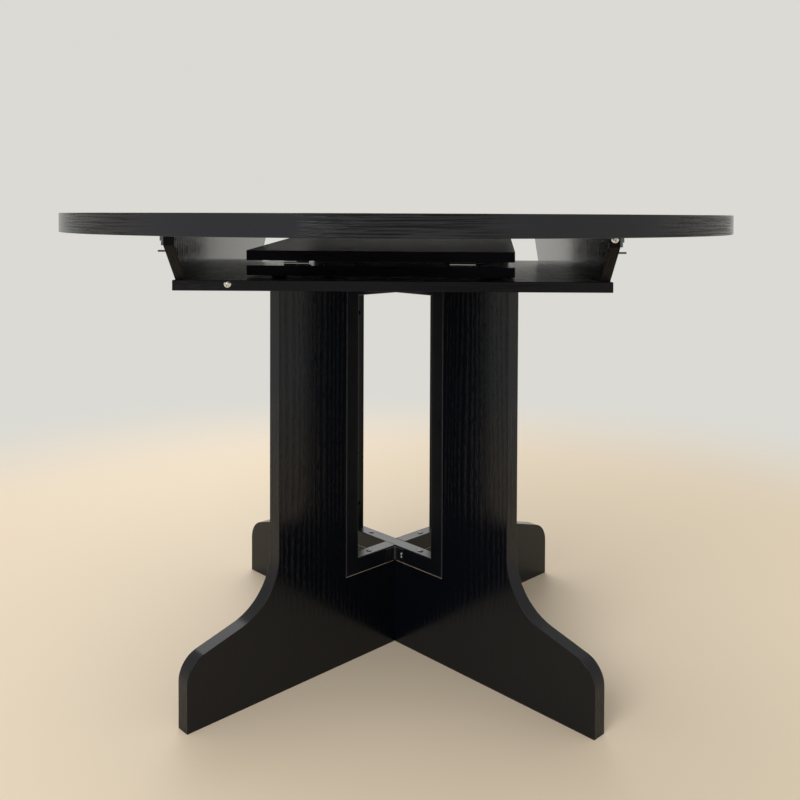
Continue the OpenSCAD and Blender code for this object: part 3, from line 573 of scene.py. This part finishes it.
def rimGrids(half):
    # half of the rim: a section 1 x 29 mm carried round half a circle, and the 15 mm strip
    # along the split edge. half is -1 for the front and 1 for the rear.
    skip = math.degrees(math.asin(top["gap"] / top["radius"]))
    a = np.radians(np.linspace(180 + skip, 360 - skip, top["rimPoints"]))
    outward = np.stack([np.cos(a), np.sin(a), 0 * a], -1)
    path = outward * top["radius"] + [0, 0, top["rim"]]
    ease = top["ease"]
    section = roundedCorners((-top["band"], 0), (0, top["surface"] - top["rim"]), (0, ease, ease, 0))
    rim = sweep(path, outward, (0, 0, 1), section)
    reach = top["radius"] - 1.01 * top["band"]  # just short of the rim's own edging
    line = np.array([[-reach, -top["gap"], top["under"]], [reach, -top["gap"], top["under"]]])
    section = roundedCorners((-top["band"], 0), (0, top["surface"] - top["under"]), top["splitEase"])
    split = sweep(line, np.array([[0, 1, 0]] * 2), (0, 0, 1), section)
    grids = [(rim, False, True, True), (split, False, True, True)]
    if half > 0:
        grids = [(turnZ(points, 180), *flags) for points, *flags in grids]
    return grids


def cutAway(piece, cutterGrids):
    # takes closed solids out of a piece, which then keeps its own material
    mesh = gridMesh(piece.name + "_cutter", cutterGrids)
    tidyMesh(mesh)
    cutter = bpy.data.objects.new(piece.name + "_cutter", mesh)
    bpy.context.scene.collection.objects.link(cutter)
    change = piece.modifiers.new("bores", "BOOLEAN")
    change.operation = "DIFFERENCE"
    change.solver = "EXACT"
    change.object = cutter
    bpy.context.view_layer.update()
    evaluated = piece.evaluated_get(bpy.context.evaluated_depsgraph_get())
    result = bpy.data.meshes.new_from_object(evaluated)
    piece.modifiers.clear()
    old = piece.data
    piece.data = result
    bpy.data.meshes.remove(old)
    bpy.data.objects.remove(cutter)
    piece.data.shade_smooth()
    piece.data.set_sharp_from_angle(angle=sharpAngle)


addPiece("rimEdging_front", rimGrids(-1), "edgingRim", "front_half", ["edge_band_front"])
rimRear = addPiece("rimEdging_rear", rimGrids(1), "edgingRim", "rear_half",
                   ["edge_band_rear"])
# Known fault: this cut drops the rear strip along the split and leaves four short stubs there.
wide, lead, deep = top["pinRadius"] + top["pinPlay"], top["boreLead"], top["boreDeep"]
bore = np.array([[0, -lead], [wide, -lead], [wide, deep], [0, deep]])
cutAway(rimRear, lathe(bore, [(x, 0, top["pinMiddle"]) for x in top["pins"]], [(0, 1, 0)] * 4))

bay = {"width": 624.0, "depth": 624.0, "low": 640.0, "high": 655.0, "panelX": 307.5, "panelTopR": 483.4,
       "panelCorner": 51.0, "panelHeight": 78.0, "panelThick": 15.0, "band": 1.0, "ease": 0.7}
panelTopY = math.sqrt(bay["panelTopR"] ** 2 - bay["panelX"] ** 2)
endSlant = math.atan((panelTopY - bay["depth"] / 2) / bay["panelCorner"])


def panelReach(up):
    # half the length of a side panel at a height above the shelf
    return min(panelTopY, bay["depth"] / 2 + up * math.tan(endSlant))


def shelfGrids():
    # a closed strip round the shelf, mitred at its four corners
    w, d, low, ease = bay["width"] / 2, bay["depth"] / 2, bay["low"], bay["ease"]
    path = np.array([[-w, -d, low], [w, -d, low], [w, d, low], [-w, d, low]])
    section = roundedCorners((-bay["band"], 0), (0, bay["high"] - low), (0, ease, ease, 0))
    return [(sweep(path, mitredNormals(path, (0, 0, 1), True), (0, 0, 1), section), True, True, False)]


def panelGrids():
    # four strips on the ends of the side panels, from foot to corner to top. The section at the
    # foot is laid level, and so is 1 / cos(slant) longer, because the panels are cut level.
    section = roundedCorners((-bay["band"], -bay["panelThick"]), (0, 0), (0, bay["ease"], bay["ease"], 0))
    grids = []
    for sx in (-1, 1):
        for sy in (-1, 1):
            path = np.array([[sx * bay["panelX"], sy * panelReach(up), bay["high"] + up]
                             for up in (0, bay["panelCorner"], bay["panelHeight"])])
            outward = np.array([[0, sy / math.cos(endSlant), 0],
                                [0, sy, -math.tan(endSlant / 2)], [0, sy, 0]])
            grids.append((sweep(path, outward, (sx, 0, 0), section), False, True, True))
    return grids


addPiece("shelfEdging", shelfGrids(), "edgingShelf", "base", ["shelf_bands"])
addPiece("panelEdging", panelGrids(), "edgingBay", "base", ["panel_end_bands"])

leg = {"height": 640.0, "length": 850.0, "thick": 25.0, "stem": 526.0, "footEnd": 69.0, "slope": 15.6,
       "toe": 40.0, "ankle": 95.0, "arcPoints": 25, "window": 250.0, "sill": 144.0, "band": 1.0, "ease": 0.8}


def legPath():
    # Side of a leg board from the floor up: upright foot end, toe arc, falling foot, ankle
    # arc and stem. Arc points are c + r (cos a, sin a).
    slope = math.radians(leg["slope"])
    toeC = np.array([leg["length"] / 2 - leg["toe"], leg["footEnd"]])
    ankleX = leg["stem"] / 2 + leg["ankle"]
    run = toeC[0] + leg["toe"] * math.sin(slope) - (ankleX - leg["ankle"] * math.sin(slope))
    rise = (leg["toe"] + leg["ankle"]) * math.cos(slope) + run * math.tan(slope)
    ankleC = np.array([ankleX, toeC[1] + rise])
    toeA = np.radians(np.linspace(0, 90 - leg["slope"], leg["arcPoints"]))
    ankleA = np.radians(np.linspace(270 - leg["slope"], 180, leg["arcPoints"]))
    points = np.vstack([[leg["length"] / 2, 0],
                        toeC + leg["toe"] * np.stack([np.cos(toeA), np.sin(toeA)], -1),
                        ankleC + leg["ankle"] * np.stack([np.cos(ankleA), np.sin(ankleA)], -1),
                        [leg["stem"] / 2, leg["height"]]])
    return np.stack([points[:, 0], 0 * points[:, 0], points[:, 1]], -1)


def legGrids(turn):
    # the edging up one side of a leg board, and the same strip turned half round for the other
    path = legPath()
    outward = mitredNormals(path, (0, 1, 0))
    if outward[0, 0] < 0:
        outward = -outward
    half = leg["thick"] / 2
    section = roundedCorners((-leg["band"], -half), (0, half), (0, leg["ease"], leg["ease"], 0))
    one = sweep(path, outward, (0, 1, 0), section)
    return [(turnZ(one, turn), False, True, True), (turnZ(one, turn + 180), False, True, True)]


addPiece("legEdging_a", legGrids(45), "edgingBoard", "base", ["leg_bands_a"])
addPiece("legEdging_b", legGrids(-45), "edgingBoard", "base", ["leg_bands_b"])


bareEdge = {"sillWidth": 0.5, "sideWidth": 0.35, "deep": 0.3, "proud": 0.06, "clear": 16.0}


def bareEdgeGrids(turn, part):
    # Strips along the rim of the cut-out, on both faces of one leg board: bare board on the sill, where
    # the saw has chipped the melamine, and light grey painted highlight up the sides. They stand a
    # little proud of the face, and on the sill they stop clear of the other board.
    w, half, sill, clear = leg["window"] / 2, leg["thick"] / 2, leg["sill"], bareEdge["clear"]
    if part == "sill":
        spans = [(-w, sill, -clear, sill, (0, 0, -1)), (clear, sill, w, sill, (0, 0, -1))]
    else:
        spans = [(side * w, sill, side * w, leg["height"], (side, 0, 0)) for side in (-1, 1)]
    section = roundedCorners((0, -bareEdge["deep"]), (bareEdge[part + "Width"], bareEdge["proud"]), [0] * 4)
    grids = []
    for face in (-1, 1):
        for x0, z0, x1, z1, away in spans:
            line = np.array([[x0, face * half, z0], [x1, face * half, z1]])
            points = sweep(line, np.array([away] * 2, float), (0, face, 0), section)
            grids.append((turnZ(points, turn), False, True, True))
    return grids


# bare board on the sill, and painted highlight up the sides
for label, turn in (("a", 45), ("b", -45)):
    addPiece("bareSill_" + label, bareEdgeGrids(turn, "sill"), "rawSill", "base")
    addPiece("paintedHighlightSide_" + label, bareEdgeGrids(turn, "side"), "paintedSideHighlight", "base")
print("edging made")


tube = {"wide": 25.0, "deep": 26.0, "wall": 1.5, "corner": 1.7, "play": 0.5, "access": 3.5, "accessPast": 2.0,
        "sideScrew": 71.0, "barScrew": 63.0}
frameHalf = leg["window"] / 2 - tube["play"]


def tubeGrids(path, closed, turn):
    # A hollow tube: the outer and the inner section carried round the same mitred path. Known
    # fault: on the closed frame, the cut of the access holes fills the inside.
    outward = mitredNormals(path, (0, 1, 0), closed)
    if (outward * (path - path.mean(0))).sum() < 0:
        outward = -outward
    wide, deep, wall, corner = tube["wide"] / 2, tube["deep"], tube["wall"], tube["corner"]
    outer = roundedCorners((-deep, -wide), (0, wide), [corner] * 4)
    inner = roundedCorners((-deep + wall, -wide + wall), (-wall, wide - wall), [corner - wall] * 4)
    rings = [sweep(path, outward, (0, 1, 0), s) for s in (outer, inner)]
    rings = [turnZ(r, turn) for r in rings]
    if closed:
        return [(r, True, True, False) for r in rings]
    skin = np.concatenate([rings[0], rings[1][::-1]], 0)  # out along the outside, back inside
    return [(skin, True, True, False)]


def accessHoles(turn, signs):
    # short plugs through the inner walls of a frame, where a driver reaches the hidden screws
    middle = tube["deep"] / 2
    places, axes = [], []
    for s in signs:
        for z in (leg["sill"] + tube["sideScrew"], leg["height"] - tube["sideScrew"]):
            places.append([s * (frameHalf - middle), 0, z])
            axes.append([-s, 0, 0])
        places.append([s * tube["barScrew"], 0, leg["height"] - middle])
        axes.append([0, 0, -1])
    wide, deep = tube["access"], middle + tube["accessPast"]
    profile = np.array([[0, 0], [wide, 0], [wide, deep], [0, deep]])
    return lathe(profile, turnZ(np.array(places), turn), turnZ(np.array(axes, float), turn))


low, high, cut = leg["sill"], leg["height"], tube["wide"] / 2
ringPath = np.array([[-frameHalf, 0, low], [frameHalf, 0, low], [frameHalf, 0, high], [-frameHalf, 0, high]])
halfPath = np.array([[-cut, 0, low], [-frameHalf, 0, low], [-frameHalf, 0, high], [-cut, 0, high]])
for name, path, closed, turn, signs, node in (
        ("steelFrame_closed", ringPath, True, -45, (-1, 1), "frame_closed"),
        ("steelFrame_near", halfPath, False, 45, (-1,), "frame_half_near"),
        ("steelFrame_far", halfPath, False, 225, (-1,), "frame_half_far")):
    piece = addPiece(name, tubeGrids(path, closed, turn), "steel", "base", [node])
    cutAway(piece, accessHoles(turn, signs))
print("frames made")


headEase = 0.3  # mm by which the rim of a head is rounded


def screwProfile(head, crown, rise, shank, length, rings=9):
    # Head: z = -crown - rise (1 - (r / head)^2) with its rim eased by an arc; then the shank to
    # its point. z runs along the screw, and the head's seat is at z = 0.
    r = np.linspace(0, head - headEase, rings)
    cap = np.stack([r, -crown - rise * (1 - (r / head) ** 2)], -1)
    a = np.radians(np.linspace(20, 90, 4))
    rim = np.stack([head - headEase * (1 - np.sin(a)), headEase * (1 - np.cos(a)) - crown], -1)
    rest = np.array([[head, 0], [shank, 0], [shank, length - 1.2 * shank], [0, length]])
    return np.vstack([cap, rim, rest])


def crossRecess(size, width, depth):
    # Two crossed slots, each d = depth (1 - (s / size)^2) inside size and |t| < width: a
    # driver's recess that is deepest in the middle.
    def carve(x, y, z):
        slotX = (np.abs(y) < width) * np.clip(1 - (x / size) ** 2, 0, 1)
        slotY = (np.abs(x) < width) * np.clip(1 - (y / size) ** 2, 0, 1)
        return depth * np.maximum(slotX, slotY) * (z < -0.05)
    return carve


# a recess is its reach, half its width and its depth; a crown is the share of a head that is upright
wood = {"head": 3.2, "thick": 1.6, "crown": 0.5, "recess": (2.0, 0.5, 1.0), "shank": 1.8,
        "short": 11.0, "long": 30.0, "panel": 35.0, "panelEnd": 75.0}
sillScrew = {"head": 4.5, "crown": 0.75}
trackScrew = {"thick": 1.0, "crown": 0.6, "recess": (2.0, 0.5, 0.8)}
small = {"head": 2.2, "thick": 1.1, "crown": 0.5, "recess": (1.4, 0.34, 0.8), "shank": 1.2, "long": 5.0}
hingeScrew = {"edge": 0.45, "rise": 0.35, "recess": (1.4, 0.34, 0.55)}
roundOnes = {"head": 5.3, "edge": 0.7, "rise": 1.9, "recess": (3.3, 0.62, 1.5), "shank": 1.8,
             "x": 233.0, "panelDrop": 16.0}


def woodScrews(name, node, body, places, axes, length, head=wood["head"], crown=wood["crown"],
               material="zinc"):
    profile = screwProfile(head, wood["thick"] * crown, wood["thick"] * (1 - crown), wood["shank"], length)
    grids = lathe(profile, places, axes, 28, crossRecess(*wood["recess"]))
    return addPiece(name, grids, material, body, [node])


slide = {"drop": 2.0, "high": 25.0, "wall": 1.0, "end": 8.0, "screwEnd": 41.0, "hangerOut": 6.8, "sheet": 1.5,
         "flange": 22.0, "railGap": 10.0, "railScrewEnd": 37.0,
         "pegDrop": 8.0, "pegEnd": 8.0, "pegRadius": 1.4, "pegReach": 12.0}
trackLow = bay["panelHeight"] - slide["drop"] - slide["high"]
trackMid = trackLow + slide["high"] / 2
trackHalf = panelTopY - slide["end"]
railLength = trackHalf - slide["railGap"] / 2
flangeX = bay["panelX"] + slide["hangerOut"] + (slide["flange"] - slide["sheet"]) / 2
for label, sy in (("front", -1), ("rear", 1)):
    places = [(sx * flangeX, sy * (slide["railGap"] / 2 + along), top["under"] - slide["sheet"])
              for sx in (-1, 1)
              for along in (slide["railScrewEnd"], railLength / 2, railLength - slide["railScrewEnd"])]
    woodScrews("railScrews_" + label, "rail_screws_" + label, label + "_half", places,
               [(0, 0, 1)] * 6, wood["short"] + slide["sheet"])


def bothSides(points):
    # the points and their mirror images in X = 0
    points = np.array(points, float)
    return np.vstack([points, points * [-1, 1, 1]])


ys = [i / 2 * (trackHalf - slide["screwEnd"]) for i in (-2, -1, 0, 1, 2)]
x, z = bay["panelX"] + slide["wall"], bay["high"] + trackMid
thick, crown = trackScrew["thick"], trackScrew["crown"]
profile = screwProfile(wood["head"], thick * crown, thick * (1 - crown), wood["shank"], wood["short"])
grids = lathe(profile, bothSides([(x, y, z) for y in ys]), bothSides([(-1, 0, 0)] * 5), 28,
              crossRecess(*trackScrew["recess"]))
addPiece("trackScrews", grids, "zinc", "base", ["track_screws"])

pegUp = trackLow - slide["pegDrop"]
x, z = bay["panelX"] - wood["short"], bay["high"] + pegUp
pegY = panelReach(pegUp) - slide["pegEnd"]
r, reach = slide["pegRadius"], slide["pegReach"] + wood["short"]
profile = np.array([[0, 0], [r, 0], [r, reach - 0.6], [r - 0.15, reach - 0.25], [r - 0.5, reach], [0, reach]])
grids = lathe(profile, bothSides([(x, side * pegY, z) for side in (-1, 1)]), bothSides([(1, 0, 0)] * 2), 24)
addPiece("stopPegs", grids, "zincDark", "base", ["stop_pegs"])

panelMiddle = bay["panelX"] - bay["panelThick"] / 2
seat = bay["low"] + 2 * wood["thick"]
screwY = bay["depth"] / 2 - bay["band"] - wood["panelEnd"]
places = bothSides([(panelMiddle, share * screwY, seat) for share in (-1, 0, 1)])
woodScrews("panelScrews", "panel_screws", "base", places, [(0, 0, 1)] * 6, bay["high"] + wood["panel"] - seat)

turns = (45, 135, 225, 315)
sideX = frameHalf - tube["wall"]
places = [turnZ(np.array([sideX, 0, z]), a) for a in turns
          for z in (leg["sill"] + tube["sideScrew"], leg["height"] - tube["sideScrew"])]
axes = [turnZ(np.array([1.0, 0, 0]), a) for a in turns for _ in (0, 1)]
woodScrews("frameSideScrews", "frame_side_screws", "base", places, axes,
           tube["wall"] + tube["play"] + wood["long"])
places = [turnZ(np.array([tube["barScrew"], 0, leg["sill"] + tube["deep"]]), a) for a in turns]
woodScrews("frameSillScrews", "frame_sill_screws", "base", places, [(0, 0, -1)] * 4,
           tube["deep"] + wood["long"], sillScrew["head"], sillScrew["crown"], "zincDark")
places = [turnZ(np.array([tube["barScrew"], 0, leg["height"] - tube["wall"]]), a) for a in turns]
woodScrews("frameShelfScrews", "frame_shelf_screws", "base", places, [(0, 0, 1)] * 4,
           tube["wall"] + wood["short"])

up = bay["panelHeight"] - roundOnes["panelDrop"]
places = np.array([[-roundOnes["x"], -bay["depth"] / 2, bay["high"] - roundOnes["head"]],
                   [panelMiddle, -panelReach(up), bay["high"] + up]])
places = np.vstack([places, places * [-1, -1, 1]])
profile = screwProfile(roundOnes["head"], roundOnes["edge"], roundOnes["rise"], roundOnes["shank"],
                       wood["short"], 22)
grids = lathe(profile, places, [(0, 1, 0)] * 2 + [(0, -1, 0)] * 2, 96, crossRecess(*roundOnes["recess"]))
addPiece("roundScrews", grids, "nickel", "base", ["round_screws"])

bracket = {"screwX": 17.8, "dz": 2.6, "thick": 2.0}
corner = tube["wide"] / 2 * math.sqrt(2)
places, axes = [], []
for turn in (0, 180):
    for z in (leg["sill"] + tube["deep"] / 2, leg["height"] - tube["deep"] / 2):
        for dz in (-bracket["dz"], bracket["dz"]):
            point = turnZ(np.array([bracket["thick"], bracket["screwX"], dz]), -135) + [0, -corner, z]
            places.append(turnZ(point, turn))
            axes.append(turnZ(np.array([-1.0, 0, 0]), turn - 135))
thick, crown = small["thick"], small["crown"]
profile = screwProfile(small["head"], thick * crown, thick * (1 - crown), small["shank"], small["long"])
grids = lathe(profile, places, axes, 32, crossRecess(*small["recess"]))
addPiece("bracketScrews", grids, "zinc", "base", ["bracket_screws"])

leaf = {"x": -21.0, "y": -254.0, "axisZ": 676.25, "skew": -5.0, "half": 3.75, "thick": 15.0, "wide": 400.0,
        "long": 556.0, "strip": 14.0, "stripWide": 50.0, "play": 0.3, "pad": 2.5, "padRadius": 11.0,
        "padInset": 40.0, "padEase": 0.8, "hingeAt": 124.0, "hingeLong": 38.0, "plateThick": 1.0,
        "screwY": 11.0}
tilt = math.asin((2 * (leaf["strip"] - leaf["half"]) + leaf["play"]) / (leaf["long"] - 1 - leaf["stripWide"]))


def leafPlace(points, upper=False):
    # from the leaf's own axes to the table's: the upper panel is the lower one turned over
    # the hinge line and tipped by the leaf's small tilt
    points = np.array(points, float)
    if upper:
        points = points * [1, 1, -1]
        c, s = math.cos(tilt), math.sin(tilt)
        points = points @ np.array([[1, 0, 0], [0, c, s], [0, -s, c]])
    return turnZ(points, leaf["skew"])


def leafPoint(points, upper=False):
    # the same for places, which also move out to the leaf's fold line
    return leafPlace(points, upper) + [leaf["x"], leaf["y"], leaf["axisZ"]]


local = [(s * leaf["hingeAt"] + e * leaf["hingeLong"] / 4, leaf["screwY"], -leaf["half"] + leaf["plateThick"])
         for s in (-1, 1) for e in (-1, 1)]
profile = screwProfile(small["head"], hingeScrew["edge"], hingeScrew["rise"], small["shank"],
                       wood["short"] + leaf["plateThick"])
for label in ("lower", "upper"):
    isUpper = label == "upper"
    grids = lathe(profile, leafPoint(local, isUpper), leafPlace([(0, 0, -1.0)] * 4, isUpper), 32,
                  crossRecess(*hingeScrew["recess"]))
    addPiece("hingeScrews_" + label, grids, "nickel", "leaf_" + label + "_panel",
             ["hinge_screws_" + label])

padR, padT, ease = leaf["padRadius"], leaf["pad"], leaf["padEase"]
a = np.radians(np.linspace(0, 90, 6))
edge = np.stack([padR - ease * (1 - np.sin(a)), ease * (1 - np.cos(a))], -1)
profile = np.vstack([[[0, 0]], edge, [[padR, padT - 0.3]], [[padR - 0.3, padT]], [[0, padT]]])
places = leafPoint([(s * (leaf["wide"] / 2 - leaf["padInset"]), y, -leaf["half"] - leaf["thick"])
                    for s in (-1, 1) for y in (leaf["padInset"], leaf["long"] - 2 * leaf["padInset"])])
addPiece("feltPads", lathe(profile, places, [(0, 0, -1)] * 4, 40), "felt", "base", ["leaf_pads"])


# alignment pins: beech dowels, chamfered where they are glued in and rounded where they stand out
r, end = top["pinRadius"], top["pinLength"]
profile = np.array([[0, 0], [r - 0.8, 0], [r, 0.9], [r, end - 1.6], [r - 0.5, end - 0.6],
                    [r - 1.2, end], [0, end]])
places = [(x, top["pinReach"] - end, top["pinMiddle"]) for x in top["pins"]]
grids = lathe(profile, places, [(0, 1, 0)] * 4, 36)
addPiece("beechDowels", grids, "beech", "front_half", ["alignment_pins"])
print("fasteners made")


studio = {"floor": "#e6d5be", "backdrop": "#dbdad4", "roughness": 0.55, "specular": 0.2,
          "floorRadius": 14.0, "floorSides": 96, "fadeFrom": 0.95, "fadeTo": 2.3}  # metres


def makeFloor():
    # A wide disc: pale near the table and fading into the backdrop's own colour further out.
    a = np.linspace(0, 2 * math.pi, studio["floorSides"], endpoint=False)
    ring = np.stack([np.cos(a), np.sin(a), 0 * a], -1) * studio["floorRadius"]
    mesh = bpy.data.meshes.new("floor")
    mesh.from_pydata(ring.tolist(), [], [list(range(studio["floorSides"]))])
    material, tree, shader = newMaterial("studioFloor")
    place = addNode(tree, "ShaderNodeTexCoord").outputs["Object"]
    distance = addNode(tree, "ShaderNodeVectorMath", {0: place}, operation="LENGTH").outputs["Value"]
    fade = addNode(tree, "ShaderNodeMapRange", {
        "Value": distance, "From Min": studio["fadeFrom"], "From Max": studio["fadeTo"]},
        interpolation_type="SMOOTHERSTEP").outputs[0]
    shader.inputs["Base Color"].default_value = hexToLinear(studio["floor"])
    shader.inputs["Roughness"].default_value = studio["roughness"]
    shader.inputs["Specular IOR Level"].default_value = studio["specular"]
    far = addNode(tree, "ShaderNodeEmission", {"Color": hexToLinear(studio["backdrop"])})
    mixed = addNode(tree, "ShaderNodeMixShader", {"Fac": fade, 1: shader.outputs[0], 2: far.outputs[0]})
    tree.links.new(mixed.outputs[0], tree.nodes["Material Output"].inputs["Surface"])
    mesh.materials.append(material)
    floor = bpy.data.objects.new("floor", mesh)
    bpy.context.scene.collection.objects.link(floor)


def makeWorld():
    # an even light all round, in the backdrop's own colour
    world = bpy.data.worlds.new("studio")
    world.use_nodes = True
    tree = world.node_tree
    tree.nodes.clear()
    light = addNode(tree, "ShaderNodeBackground", {"Color": hexToLinear(studio["backdrop"]), "Strength": 1.0})
    addNode(tree, "ShaderNodeOutputWorld", {"Surface": light.outputs[0]})
    bpy.context.scene.world = world


lamps = {  # places and sizes in metres
    "key": {"place": (-1.3, -2.6, 2.2), "size": 1.8, "watts": 50},
    "back": {"place": (-0.6, 2.7, 2.5), "size": 3.4, "watts": 47},
}
lampAim = (0, 0, 0.4)


def makeLamp(name, values):
    # a round soft lamp that looks at lampAim and stays out of the camera's sight
    light = bpy.data.lights.new(name, "AREA")
    light.shape = "DISK"
    light.size = values["size"]
    light.energy = values["watts"]
    lamp = bpy.data.objects.new(name, light)
    aim = Vector(lampAim) - Vector(values["place"])
    turn = aim.to_track_quat("-Z", "Y").to_matrix().to_4x4()
    lamp.matrix_world = Matrix.Translation(values["place"]) @ turn
    lamp.visible_camera = False
    bpy.context.scene.collection.objects.link(lamp)


makeFloor()
makeWorld()
for name, values in lamps.items():
    makeLamp(name, values)
scene = bpy.context.scene
scene.view_settings.view_transform = "Standard"
print("studio made")
